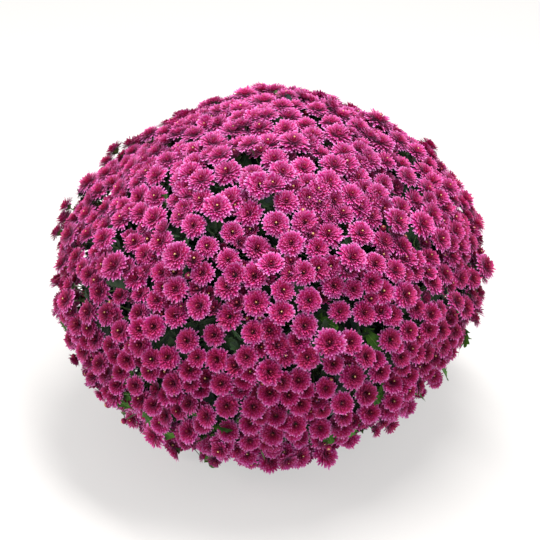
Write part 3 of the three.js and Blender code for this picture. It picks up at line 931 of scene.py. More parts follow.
@dataclass
class Blades(Group):
    """Where each copy of a blade lies."""

    root: np.ndarray
    along: np.ndarray
    normal: np.ndarray
    length: np.ndarray
    width: np.ndarray
    curl: np.ndarray  # rise of the tip over the root, as a share of the length

    def laid(self, pattern: Pattern) -> np.ndarray:
        """The points of every copy.

        Args:
            pattern: the blade, along Y.

        Returns:
            Points by copy, point and axis.
        """
        side = np.cross(self.along, self.normal)
        x, y, z = (pattern.points[:, i][None] for i in range(3))
        wide, long = self.width[:, None], self.length[:, None]
        rise = z * wide + self.curl[:, None] * long * y**2
        return (
            self.root[:, None]
            + (x * wide)[..., None] * side[:, None]
            + (y * long)[..., None] * self.along[:, None]
            + rise[..., None] * self.normal[:, None]
        )


def set_on(
    pattern: Pattern, middles: np.ndarray, axes: np.ndarray, radii: np.ndarray, turns: np.ndarray
) -> np.ndarray:
    """Copies of a turned shape, each on its own axis.

    Args:
        pattern: the shape, round Z.
        middles: where each origin comes.
        axes: the direction that each Z takes.
        radii: the size of each copy.
        turns: how far each is turned round its axis, in radians.

    Returns:
        Points by copy, point and axis.
    """
    across = turned_towards(axes, turns)
    along = np.cross(axes, across)
    basis = np.stack([across, along, axes], axis=1)
    local = pattern.points[None] * radii[:, None, None]
    return middles[:, None] + local @ basis


def bent_rods(
    pattern: Pattern, start: np.ndarray, bend: np.ndarray, end: np.ndarray, radii: Range
) -> np.ndarray:
    """Copies of a rod, each bent along its own curve.

    Args:
        pattern: the rod, from 0 to 1 along Z.
        start: where each begins.
        bend: the point that each curve leans towards.
        end: where each ends.
        radii: the radius at the start and at the end.

    Returns:
        Points by copy, point and axis.
    """
    x, y, t = (pattern.points[:, i][None, :, None] for i in range(3))
    a, b, c = start[:, None], bend[:, None], end[:, None]
    centre = (1 - t) ** 2 * a + 2 * t * (1 - t) * b + t**2 * c
    tangent = unit(2 * (1 - t) * (b - a) + 2 * t * (c - b))
    across = unit(np.cross(tangent, unit(np.cross(b - a, c - a) + TINY)))
    along = np.cross(tangent, across)
    radius = radii[0] * (1 - t) + radii[1] * t
    return centre + radius * (x * across + y * along)


def look_of(
    count: int, tone: float | np.ndarray = 1.0, heart: float | np.ndarray = 0.0
) -> np.ndarray:
    """The "look" attribute of copies, which their finish reads.

    Args:
        count: how many copies there are.
        tone: their brightness.
        heart: how close they are to a head's heart or the bush's inside, from 0 to 1. For
            leaves it is their share of painted shade.

    Returns:
        Tone, heart and a random share, by copy.
    """
    look = np.empty((count, 3))
    look[:, 0] = tone
    look[:, 1] = heart
    look[:, 2] = RNG.random(count)
    return look


@dataclass
class Heap:
    """Copies of patterns that are gathered into one piece."""

    materials: list[bpy.types.Material]
    parts: list[tuple[Pattern, np.ndarray, np.ndarray, int]] = field(default_factory=list)

    def add(
        self, pattern: Pattern, points: np.ndarray, look: np.ndarray, material: int = 0
    ) -> None:
        """Adds copies.

        Args:
            pattern: the shape that they are copies of.
            points: their points, by copy, point and axis.
            look: their "look" attribute, by copy.
            material: the index of their material.
        """
        if len(points):
            self.parts.append((pattern, points, look, material))

    def make(self, name: str) -> bpy.types.Object:
        """Builds the piece with its own mesh.

        Args:
            name: the piece's name.

        Returns:
            The piece, linked to the scene.
        """
        rows = []
        base = 0
        for pattern, placed, look, material in self.parts:
            copies, each = placed.shape[:2]
            offsets = base + each * np.arange(copies)
            rows.append(
                (
                    placed.reshape(-1, 3).astype(np.float32),
                    (pattern.corners[None] + offsets[:, None]).ravel().astype(np.int32),
                    np.tile(pattern.sizes, copies),
                    np.tile(pattern.uv[pattern.corners], (copies, 1)).astype(np.float32),
                    np.repeat(look, each, axis=0).astype(np.float32),
                    np.full(copies * len(pattern.sizes), material, np.int32),
                )
            )
            base += copies * each
        points, corners, sizes, uvs, looks, slots = map(np.concatenate, zip(*rows, strict=True))
        mesh = bpy.data.meshes.new(name)
        mesh.vertices.add(len(points))
        mesh.vertices.foreach_set("co", points.ravel())
        mesh.loops.add(len(corners))
        mesh.loops.foreach_set("vertex_index", corners)
        mesh.polygons.add(len(sizes))
        starts = np.concatenate([[0], np.cumsum(sizes)[:-1]])
        mesh.polygons.foreach_set("loop_start", starts.astype(np.int32))
        mesh.polygons.foreach_set("material_index", slots)
        mesh.update(calc_edges=True)
        mesh.uv_layers.new(name="blade").data.foreach_set("uv", uvs.ravel())
        attribute = mesh.attributes.new("look", "FLOAT_VECTOR", "POINT")
        attribute.data.foreach_set("vector", looks.ravel())
        for material in self.materials:
            mesh.materials.append(material)
        mesh.shade_smooth()
        piece = bpy.data.objects.new(name, mesh)
        bpy.context.scene.collection.objects.link(piece)
        return piece


def settle(piece: bpy.types.Object, slot: Slot, *nodes: str) -> None:
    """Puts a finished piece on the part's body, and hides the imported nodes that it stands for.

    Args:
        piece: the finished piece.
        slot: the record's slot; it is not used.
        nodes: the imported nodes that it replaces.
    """
    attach(piece, BODY)
    slot.value
    if nodes:
        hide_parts(*nodes)
    triangles = sum(len(face.vertices) - 2 for face in piece.data.polygons)
    LOG.info("%s: %d triangles", piece.name, triangles)


# ------------------------------------------------------------------ what the frame says


@dataclass
class Heads(Group):
    """Flower heads."""

    middle: np.ndarray
    facing: np.ndarray
    radius: np.ndarray
    fork: np.ndarray  # where the stalk leaves its spray's stem
    spray: np.ndarray  # the number of the spray


def merged_copy(node: str) -> bmesh.types.BMesh:
    """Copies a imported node's mesh, with its loose triangles joined.

    Args:
        node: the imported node's name.

    Returns:
        The copy.
    """
    mesh = bmesh.new()
    mesh.from_mesh(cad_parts[node].data)
    bmesh.ops.remove_doubles(mesh, verts=mesh.verts, dist=SAME_PLACE)
    return mesh


def neighbours(vertex: bmesh.types.BMVert) -> list[bmesh.types.BMVert]:
    """The vertices that an edge joins to this one."""
    return [edge.other_vert(vertex) for edge in vertex.link_edges]


@dataclass(frozen=True)
class FrameSprays:
    """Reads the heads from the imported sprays.

    A packed head is a star: its crown point has ten neighbours round it, and no edge to the fork
    in which all the stalks of a spray end.
    """

    prefix: str = "spray_"
    crown: float = 4.6 * MM  # from a head's middle up to its crown point
    rim_corners: int = 10

    def names(self) -> list[str]:
        """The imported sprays' names."""
        return sorted(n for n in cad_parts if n.startswith(self.prefix))

    def read(self) -> Heads:
        """Reads every head of every spray.

        Returns:
            The heads as they are packed.
        """
        rows = []
        for number, name in enumerate(self.names()):
            mesh = merged_copy(name)
            fork = max(mesh.verts, key=lambda v: len(v.link_edges))
            for vertex in mesh.verts:
                around = neighbours(vertex)
                if len(around) != self.rim_corners or fork in around:
                    continue
                axis = sum((f.normal * f.calc_area() for f in vertex.link_faces), Vector())
                axis.normalize()
                centre = vertex.co - axis * self.crown
                radius = max((v.co - centre).length for v in around)
                rows.append((centre, axis, radius, fork.co.copy(), number))
            mesh.free()
        LOG.info("heads read from the frame: %d", len(rows))
        return Heads(*map(np.array, zip(*rows, strict=True)))


def neighbour_gaps(
    heads: Heads, centre: np.ndarray, widest: float
) -> tuple[np.ndarray, np.ndarray]:
    """The gaps among heads: the faces of the hull of their directions from the plant's middle.

    Args:
        heads: the heads.
        centre: the plant's middle.
        widest: the longest side that a gap may have.

    Returns:
        The three heads round each gap and its middle, the widest gap first.
    """
    hull = bmesh.new()
    for direction in unit(heads.middle - centre):
        hull.verts.new(direction)
    hull.verts.ensure_lookup_table()
    hull.verts.index_update()
    bmesh.ops.convex_hull(hull, input=hull.verts)
    threes = np.array([[v.index for v in f.verts] for f in hull.faces if len(f.verts) == 3])
    hull.free()
    corners = heads.middle[threes]
    sides = np.linalg.norm(corners - np.roll(corners, 1, axis=1), axis=2)
    middle = corners.mean(axis=1)
    size = np.linalg.norm(corners - middle[:, None], axis=2).mean(axis=1)
    kept = np.flatnonzero(sides.max(axis=1) < widest)
    order = kept[np.argsort(-size[kept])]
    return threes[order], middle[order]


def nearest(places: np.ndarray, others: np.ndarray) -> tuple[np.ndarray, np.ndarray]:
    """The nearest of the others to each place.

    Args:
        places: the places.
        others: what they are compared with.

    Returns:
        The index of the nearest one, and how far it is.
    """
    away = np.linalg.norm(places[:, None] - others[None], axis=2)
    return away.argmin(axis=1), away.min(axis=1)


def apart(places: np.ndarray, least: float, count: int) -> np.ndarray:
    """The first places that keep a least distance from each other.

    Args:
        places: the places, best first.
        least: the least distance.
        count: how many to keep at most.

    Returns:
        Their indices.
    """
    kept: list[int] = []
    for i, place in enumerate(places):
        if len(kept) == count:
            break
        if not kept or np.linalg.norm(places[kept] - place, axis=1).min() > least:
            kept.append(i)
    return np.array(kept)


@dataclass(frozen=True)
class Dent:
    """A side on which the plant grew less, so that its heads stand lower there."""

    towards: Place
    spread: float  # radians
    depth: float


@dataclass(frozen=True)
class Ball:
    """The plant's overall form, a flattened ball on the pot's axis that grew a little unevenly."""

    centre: np.ndarray
    radius: float = 257 * MM
    half_height: float = 211 * MM
    dents: tuple[Dent, ...] = (
        Dent((0.52, -0.42, -0.74), 0.5, 23 * MM),
        Dent((-0.55, 0.42, 0.72), 0.48, 16 * MM),
        Dent((0.56, 0.42, 0.72), 0.48, 16 * MM),
    )

    @classmethod
    def over_pot(cls, middle_height: float = 200 * MM) -> Self:
        """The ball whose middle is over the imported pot."""
        low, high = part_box("pot")
        return cls(np.array([(low.x + high.x) / 2, (low.y + high.y) / 2, middle_height]))

    @property
    def foot(self) -> np.ndarray:
        """The point on the floor under the middle."""
        return self.centre * [1, 1, 0]

    def at(
        self, turns: np.ndarray, radii: float | np.ndarray, heights: float | np.ndarray
    ) -> np.ndarray:
        """Places round the pot's axis.

        Args:
            turns: their turns, in radians.
            radii: their distances from the axis.
            heights: their heights over the floor.

        Returns:
            The places.
        """
        places = self.foot + level(turns) * np.reshape(radii, (-1, 1))
        places[:, 2] = heights
        return places

    def outward(self, points: np.ndarray) -> np.ndarray:
        """The direction from the middle to each point."""
        return unit(points - self.centre)

    def edge(self, turns: np.ndarray, heights: np.ndarray) -> np.ndarray:
        """Points on the ball's surface.

        Args:
            turns: their turns, in radians.
            heights: their heights over the floor.

        Returns:
            The points.
        """
        rise = (heights - self.centre[2]) / self.half_height
        radius = self.radius * np.sqrt(1 - rise**2)
        return self.sunken(self.at(turns, radius, heights))

    def sunken(self, places: np.ndarray) -> np.ndarray:
        """Lets places on the plant down where it grew less.

        Args:
            places: the places.

        Returns:
            The places after it.
        """
        outward = self.outward(places)
        down = np.zeros(len(places))
        for dent in self.dents:
            away = np.arccos(np.clip(outward @ unit(np.array(dent.towards)), -1, 1))
            down += dent.depth * np.exp(-((away / dent.spread) ** 2))
        return places - outward * down[:, None]

    def share(self, points: np.ndarray) -> np.ndarray:
        """How far out points lie, as a share of the ball's size."""
        half = np.array([self.radius, self.radius, self.half_height])
        return np.linalg.norm((points - self.centre) / half, axis=-1)

    def carry(self, piece: bpy.types.Object) -> None:
        """Moves a piece's mesh from the origin to the pot's axis."""
        with edit_mode(piece):
            bpy.ops.mesh.select_all(action="SELECT")
            bpy.ops.transform.translate(value=tuple(self.foot))


@dataclass(frozen=True)
class Hollows:
    """Open places among the heads, where no younger heads grow and the leaves show."""

    middle: np.ndarray
    radius: float = 21 * MM

    @classmethod
    def among(cls, heads: Heads, ball: Ball, count: int = 100, least: float = 40 * MM) -> Self:
        """The widest gaps among the heads, at least so far apart."""
        _, middle = neighbour_gaps(heads, ball.centre, WIDEST_GAP)
        return cls(middle[apart(middle, least, count)])

    def hold(self, places: np.ndarray) -> np.ndarray:
        """Whether each place lies in a hollow."""
        return nearest(places, self.middle)[1] < self.radius


# ------------------------------------------------------------------ flower heads


class Floret(Enum):
    """How finely a ray floret is shaped."""

    PLAIN = Blade((Row(0, 0.5, 0.02), Row(0.72, 1, 0.11), Row(1, 0.52, 0.06)), 2)
    FLAT = Blade((Row(0, 0.5), Row(0.74, 1), Row(1, 0.55)), 1)
    NARROW = Blade((Row(0, 0.7), Row(1, 0.8)), 1)


@dataclass(frozen=True)
class Layer:
    """The ray florets at one depth of a head, with sizes as shares of the head's radius."""

    depth: float  # from 0 at the rim to 1 at the heart
    tip: float  # the tips' distance from the head's axis
    height: float  # the tips' height over the head's plane
    width: float
    curl: float


@dataclass(frozen=True)
class HeadForm:
    """How a kind of head is built up, and how its heads differ."""

    florets: dict[Floret, int]  # how many there are of each shape, from the rim inwards
    layers: tuple[Layer, ...]
    eye: float  # radius of the dome of disc florets
    eye_height: float
    # the mean is lower for heads that stand deeper among the others: painted shade
    tone: Range  # brightness: its mean and spread
    closing: Range  # degrees by which a head is less open than its layers say
    ripe: float  # share of the heads whose eye has turned cream
    depth_from: float = 0.0  # how deep the colour of its rim is


OPEN_HEAD = HeadForm(
    florets={Floret.PLAIN: 20, Floret.FLAT: 70, Floret.NARROW: 50},
    layers=(
        Layer(0.0, 1.0, 0.04, 0.19, -0.2),
        Layer(0.26, 0.95, 0.2, 0.18, -0.18),
        Layer(0.48, 0.81, 0.37, 0.16, -0.14),
        Layer(0.72, 0.57, 0.48, 0.14, -0.08),
        Layer(0.9, 0.33, 0.47, 0.12, -0.02),
        Layer(1.0, 0.15, 0.43, 0.1, 0.0),
    ),
    eye=0.075,
    eye_height=0.46,
    tone=(1.0, 0.07),
    closing=(-3, 8),
    ripe=0.24,
)

YOUNG_HEAD = HeadForm(
    florets={Floret.PLAIN: 12, Floret.FLAT: 40, Floret.NARROW: 36},
    layers=(
        Layer(0.0, 0.98, 0.12, 0.2, -0.06),
        Layer(0.34, 0.88, 0.32, 0.19, -0.06),
        Layer(0.66, 0.6, 0.5, 0.16, -0.04),
        Layer(0.88, 0.34, 0.54, 0.13, -0.02),
        Layer(1.0, 0.15, 0.5, 0.11, 0.0),
    ),
    eye=0.08,
    eye_height=0.48,
    tone=(0.93, 0.1),
    closing=(-6, 14),
    ripe=0.35,
    depth_from=0.1,
)

LATE_HEAD = HeadForm(
    florets={Floret.PLAIN: 6, Floret.FLAT: 26, Floret.NARROW: 26},
    layers=(
        Layer(0.0, 0.92, 0.26, 0.26, -0.06),
        Layer(0.45, 0.76, 0.52, 0.23, -0.06),
        Layer(0.8, 0.42, 0.68, 0.18, -0.02),
        Layer(1.0, 0.18, 0.66, 0.15, 0.0),
    ),
    eye=0.11,
    eye_height=0.62,
    # painted shade: late heads stand deep among the others and are painted darker
    tone=(0.74, 0.12),
    closing=(-6, 16),
    ripe=0.5,
    depth_from=0.2,
)


@dataclass
class Habit:
    """How each head of a group differs from the next, one row of each array for one head."""

    tone: np.ndarray
    closing: np.ndarray
    start: np.ndarray  # the turn of its first floret

    @classmethod
    def drawn(cls, count: int, form: HeadForm, tone_limits: Range = (-1.6, 1.4)) -> Self:
        """The habits of a number of heads of one form, by chance."""
        tone = form.tone[0] + form.tone[1] * np.clip(RNG.normal(0, 1, count), *tone_limits)
        return cls(tone, RNG.uniform(*form.closing, count), RNG.uniform(0, TURN, count))


@dataclass
class FlowerMaker:
    """Builds flower heads from ray florets that spiral in from the rim."""

    florets: dict[Floret, Pattern] = field(
        default_factory=lambda: {floret: floret.value.model() for floret in Floret}
    )
    eye: Pattern = field(default_factory=Eye().model)
    step: float = math.pi * (3 - math.sqrt(5))  # the turn from one floret to the next
    root: float = 0.1  # distance of a floret's root from the axis, as a share of the radius
    jitter_turn: float = 0.03  # radians
    jitter_lift: float = 4.2  # degrees
    jitter_length: float = 0.08
    jitter_curl: float = 0.05
    jitter_tone: float = 0.08
    deepening: float = 0.95  # how evenly the colour deepens towards the heart
    # painted light: the heart's share falls on the top and lowest heads, so they are paler
    fading: ByHeight = ((60 * MM, 0.65), (165 * MM, 1.0), (230 * MM, 1.0), (380 * MM, 0.55))
    ripe_tone: float = 1.2
    unripe_tone: float = 0.3

    def add_heads(self, heap: Heap, heads: Heads, form: HeadForm) -> None:
        """Adds heads of one form.

        Args:
            heap: the piece that gets them.
            heads: where they stand.
            form: how they are built up.
        """
        count = len(heads)
        if not count:
            return
        habit = Habit.drawn(count, form)
        first = 0
        for floret, number in form.florets.items():
            self.add_florets(heap, heads, form, habit, floret, first)
            first += number
        ripe = RNG.random(count) < form.ripe
        tone = np.where(ripe, self.ripe_tone, self.unripe_tone)
        middles = heads.middle + heads.facing * (heads.radius * form.eye_height)[:, None]
        domes = set_on(self.eye, middles, heads.facing, heads.radius * form.eye, habit.start)
        heap.add(self.eye, domes, look_of(count, tone), 1)

    def add_florets(
        self,
        heap: Heap,
        heads: Heads,
        form: HeadForm,
        habit: Habit,
        floret: Floret,
        first: int,
    ) -> None:
        """Adds the florets of one shape.

        Args:
            heap: the piece that gets them.
            heads: where the heads stand.
            form: how they are built up.
            habit: how they differ.
            floret: the shape.
            first: how many florets of other shapes come before them in each head.
        """
        each = form.florets[floret]
        number = np.tile(first + np.arange(each), len(heads))
        owner = np.repeat(np.arange(len(heads)), each)
        count = len(owner)
        depth = number / (sum(form.florets.values()) - 1)
        at = [layer.depth for layer in form.layers]
        tip, height, width, curl = (
            np.interp(depth, at, [getattr(layer, name) for layer in form.layers])
            for name in ("tip", "height", "width", "curl")
        )
        turns = habit.start[owner] + number * self.step + RNG.normal(0, self.jitter_turn, count)
        axis = heads.facing[owner]
        radial = turned_towards(axis, turns)
        closing = habit.closing[owner] + RNG.normal(0, self.jitter_lift, count)
        lift = (np.arctan2(height, tip - self.root) + np.radians(closing))[:, None]
        radius = heads.radius[owner]
        length = radius * np.hypot(height, tip - self.root)
        blades = Blades(
            root=heads.middle[owner] + radial * (radius * self.root)[:, None],
            along=radial * np.cos(lift) + axis * np.sin(lift),
            normal=axis * np.cos(lift) - radial * np.sin(lift),
            length=length * (1 + RNG.normal(0, self.jitter_length, count)),
            width=radius * width,
            curl=curl + RNG.normal(0, self.jitter_curl, count),
        )
        tone = habit.tone[owner] * (1 + RNG.normal(0, self.jitter_tone, count))
        heart = form.depth_from + (1 - form.depth_from) * depth**self.deepening
        # painted light: the heart's share falls by height on the top and lowest heads
        heart = heart * at_height(self.fading, heads.middle[owner])
        pattern = self.florets[floret]
        heap.add(pattern, blades.laid(pattern), look_of(count, tone, heart))


@dataclass
class StalkMaker:
    """Builds the green parts under the heads."""

    rod: Pattern = field(default_factory=Rod(3, 3).model)
    calyx: Pattern = field(default_factory=Calyx().model)
    radii: Range = (1.15 * MM, 0.75 * MM)
    calyx_radius: float = 0.42  # of the head's radius
    calyx_drop: float = 0.3
    bend: float = 0.45  # how far below a head its stalk still runs straight, by its reach
    tone: float = 0.7

    def add_stalks(self, heap: Heap, heads: Heads) -> None:
        """Adds each head's calyx and its stalk down to the fork.

        Args:
            heap: the piece that gets them.
            heads: the heads that they carry.
        """
        count = len(heads)
        if not count:
            return
        base = heads.middle - heads.facing * (heads.radius * self.calyx_drop)[:, None]
        size = heads.radius * self.calyx_radius
        cups = set_on(self.calyx, base, heads.facing, size, RNG.uniform(0, TURN, count))
        heap.add(self.calyx, cups, look_of(count, self.tone))
        reach = np.linalg.norm(base - heads.fork, axis=1)
        bend = base - heads.facing * (self.bend * reach)[:, None]
        rods = bent_rods(self.rod, heads.fork, bend, base, self.radii)
        heap.add(self.rod, rods, look_of(count, self.tone))


@dataclass
class Flowers:
    """All the flower heads and their stalks, one pair of pieces for each packed spray."""

    finishes: Finishes
    heads: Heads
    ball: Ball
    hollows: Hollows
    flower: FlowerMaker = field(default_factory=FlowerMaker)
    stalk: StalkMaker = field(default_factory=StalkMaker)
    bud: Pattern = field(default_factory=Bud().model)
    head_share: Range = (0.72, 0.86)  # of a packed head's radius
    head_drop: float = 1.5 * MM
    stray: float = 2.2 * MM  # how far heads stand from their place in the frame
    growth: ByHeight = ((40 * MM, 1.0), (200 * MM, 1.0), (400 * MM, 1.14))
    upward: ByHeight = ((60 * MM, 1.05), (200 * MM, 0.5), (340 * MM, 0.0))
    sway: ByHeight = ((60 * MM, 0.32), (230 * MM, 0.06))
    gap_heads: int = 1300
    gap_widest: float = 62 * MM
    gap_apart: float = 10.5 * MM
    gap_share: ByHeight = ((60 * MM, 0.4), (130 * MM, 0.5), (200 * MM, 0.9))  # of gaps filled
    gap_sway: float = 0.2
    kinds: tuple[float, float, float] = (0.46, 0.40, 0.14)  # shares of young, late and buds
    young_radius: Range = (11 * MM, 14 * MM)
    young_depth: Range = (-2 * MM, 4 * MM)
    late_radius: Range = (9.5 * MM, 13 * MM)
    late_depth: Range = (5 * MM, 15 * MM)
    hanging: tuple[int, int, int] = (30, 36, 36)  # young and late heads and buds
    hanging_height: Range = (38 * MM, 105 * MM)
    hanging_reach: Range = (0 * MM, 17 * MM)
    hanging_upward: float = 0.35
    hanging_sway: float = 0.45
    bud_radius: Range = (3.2 * MM, 4.6 * MM)
    bud_tone: float = 0.9
    bud_heart: float = 0.75
    bud_eye: Range = (0.62, 0.42)  # height and radius, as shares of the bud's radius

    def main_heads(self) -> Heads:
        """The heads of the frame at their finished size.

        Returns:
            The heads.
        """
        heads = self.heads
        count = len(heads)
        facing = self.lifted(heads.facing, heads.middle)
        aside = RNG.normal(0, self.stray, (count, 3))
        middle = heads.middle - heads.facing * self.head_drop + aside
        radius = heads.radius * RNG.uniform(*self.head_share, count)
        radius = radius * at_height(self.growth, middle)
        return Heads(middle, facing, radius, heads.fork, heads.spray)

    def lifted(self, facing: np.ndarray, places: np.ndarray) -> np.ndarray:
        """Turns heads to the light: the lower they stand, the further they turn up.

        Args:
            facing: the way that they face.
            places: where they stand.

        Returns:
            The way that they face after it.
        """
        upward = at_height(self.upward, places)[:, None] * [0, 0, 1]
        aside = RNG.normal(0, 1, facing.shape) * at_height(self.sway, places)[:, None]
        return unit(facing + upward + aside)

    def heads_in_gaps(self) -> Heads:
        """Younger heads in the widest gaps among the main ones, with no size or depth yet.

        Returns:
            The heads.
        """
        threes, middle = neighbour_gaps(self.heads, self.ball.centre, self.gap_widest)
        free = ~self.hollows.hold(middle)
        threes, middle = threes[free], middle[free]
        kept = apart(middle, self.gap_apart, self.gap_heads)
        kept = kept[RNG.random(len(kept)) < at_height(self.gap_share, middle[kept])]
        threes, middle = threes[kept], middle[kept]
        facing = self.heads.facing[threes].mean(axis=1)
        facing = self.lifted(facing + RNG.normal(0, self.gap_sway, facing.shape), middle)
        middle = middle + RNG.normal(0, self.stray, middle.shape)
        owners = self.heads.only(threes[:, 0])
        return Heads(middle, facing, np.ones(len(kept)), owners.fork, owners.spray)

    def sized(self, heads: Heads, radius: Range, depth: Range) -> Heads:
        """Gives heads their radius and lets them down to their depth.

        Args:
            heads: the heads.
            radius: from and to which radius.
            depth: from and to which depth.

        Returns:
            The heads after it.
        """
        count = len(heads)
        down = RNG.uniform(*depth, count)[:, None]
        heads.middle = heads.middle - heads.facing * down
        heads.radius = RNG.uniform(*radius, count) * at_height(self.growth, heads.middle)
        return heads

    def hanging_heads(self, count: int, radius: Range) -> Heads:
        """Loose heads that hang on long stalks at the plant's lower edge.

        Args:
            count: how many there are.
            radius: from and to which radius.

        Returns:
            The heads.
        """
        turns = RNG.uniform(0, TURN, count)
        places = self.ball.edge(turns, RNG.uniform(*self.hanging_height, count))
        outward = self.ball.outward(places)
        places = places + outward * RNG.uniform(*self.hanging_reach, count)[:, None]
        sway = RNG.normal(0, self.hanging_sway, outward.shape)
        facing = unit(outward + [0, 0, self.hanging_upward] + sway)
        owners = self.heads.only(nearest(places, self.heads.middle)[0])
        return Heads(places, facing, RNG.uniform(*radius, count), owners.fork, owners.spray)

    def all_heads(self) -> tuple[Heads, Heads, Heads, Heads]:
        """The main, young and late heads and the buds.

        Returns:
            The four groups.
        """
        main, others = self.main_heads(), self.heads_in_gaps()
        kind = RNG.choice(3, len(others), p=self.kinds)
        young, late, buds = (
            self.sized(others.only(kind == number), radius, depth)
            for number, (radius, depth) in enumerate(
                (
                    (self.young_radius, self.young_depth),
                    (self.late_radius, self.late_depth),
                    (self.bud_radius, self.late_depth),
                )
            )
        )
        sizes = (self.late_radius, self.late_radius, self.bud_radius)
        young, late, buds = (
            group.with_more(self.hanging_heads(count, radius))
            for group, count, radius in zip((young, late, buds), self.hanging, sizes, strict=True)
        )
        return main, young, late, buds

    def build(self) -> None:
        """Builds and settles every piece."""
        groups = self.all_heads()
        LOG.info("heads: %d main, %d young, %d late, %d buds", *map(len, groups))
        for number, node in enumerate(FrameSprays().names()):
            label = node.removeprefix(FrameSprays.prefix)
            blooms = Heap([self.finishes.floret, self.finishes.disc])
            stalks = Heap([self.finishes.stem])
            here = [group.only(group.spray == number) for group in groups]
            for group, form in zip(here[:3], (OPEN_HEAD, YOUNG_HEAD, LATE_HEAD), strict=True):
                self.flower.add_heads(blooms, group, form)
            self.add_buds(blooms, here[3])
            for group in here:
                self.stalk.add_stalks(stalks, group)
            settle(blooms.make("blooms_" + label), Slot.PETALS, node)
            settle(stalks.make("stalks_" + label), Slot.FOLIAGE, node)

    def add_buds(self, heap: Heap, buds: Heads) -> None:
        """Adds closed buds.

        Args:
            heap: the piece that gets them.
            buds: where they stand.
        """
        count = len(buds)
        turns = RNG.uniform(0, TURN, count)
        shapes = set_on(self.bud, buds.middle, buds.facing, buds.radius, turns)
        heap.add(self.bud, shapes, look_of(count, self.bud_tone, self.bud_heart))
        height, radius = self.bud_eye
        eye = self.flower.eye
        tops = buds.middle + buds.facing * (height * buds.radius)[:, None]
        eyes = set_on(eye, tops, buds.facing, radius * buds.radius, turns)
        heap.add(eye, eyes, look_of(count, self.flower.ripe_tone), 1)


# ------------------------------------------------------------------ foliage


FINE_LEAF = Blade(
    (
        Row(0.0, 0.05),
        Row(0.24, 0.05, 0.01),
        Row(0.3, 0.3, 0.08, 0.03),
        Row(0.4, 0.72, 0.16, 0.06),
        Row(0.46, 0.34, 0.08, 0.0),
        Row(0.55, 0.55, 0.12, 0.08),
        Row(0.63, 1.0, 0.2, 0.07),
        Row(0.69, 0.42, 0.1, 0.0),
        Row(0.77, 0.6, 0.12, 0.06),
        Row(0.84, 0.66, 0.1, 0.05),
        Row(0.88, 0.34, 0.06, 0.0),
        Row(0.95, 0.3, 0.04, 0.01),
        Row(1.0, 0.1, 0.0, 0.0),
    ),
    4,
)

PLAIN_LEAF = Blade(
    (
        Row(0.0, 0.06),
        Row(0.28, 0.1, 0.02),
        Row(0.42, 0.75, 0.14, 0.05),
        Row(0.55, 0.5, 0.1, 0.04),
        Row(0.68, 1.0, 0.18, 0.05),
        Row(0.86, 0.6, 0.08, 0.02),
        Row(1.0, 0.1),
    ),
    2,
)


@dataclass(frozen=True)
class LeafHabit:
    """How a group of leaves lies and looks."""

    # lowered as painted shade for the groups that lie in the bush's shade
    tone: float  # brightness
    deep: float  # how far they are in the bush's shade
    rise: float = 0.0  # how far the tips point outwards, as a share of their length
    spread: float = 0.0  # how much their upper sides vary
    size: float = 1.0  # of a full leaf


def islands(vertices: list[bmesh.types.BMVert]) -> list[list[bmesh.types.BMVert]]:
    """Parts these vertices into groups that edges join.

    Args:
        vertices: the vertices.

    Returns:
        The groups.
    """
    waiting = set(vertices)
    groups = []
    for first in vertices:
        if first not in waiting:
            continue
        waiting.remove(first)
        group, todo = [], [first]
        while todo:
            vertex = todo.pop()
            group.append(vertex)
            found = [other for other in neighbours(vertex) if other in waiting]
            waiting.difference_update(found)
            todo.extend(found)
        groups.append(group)
    return groups


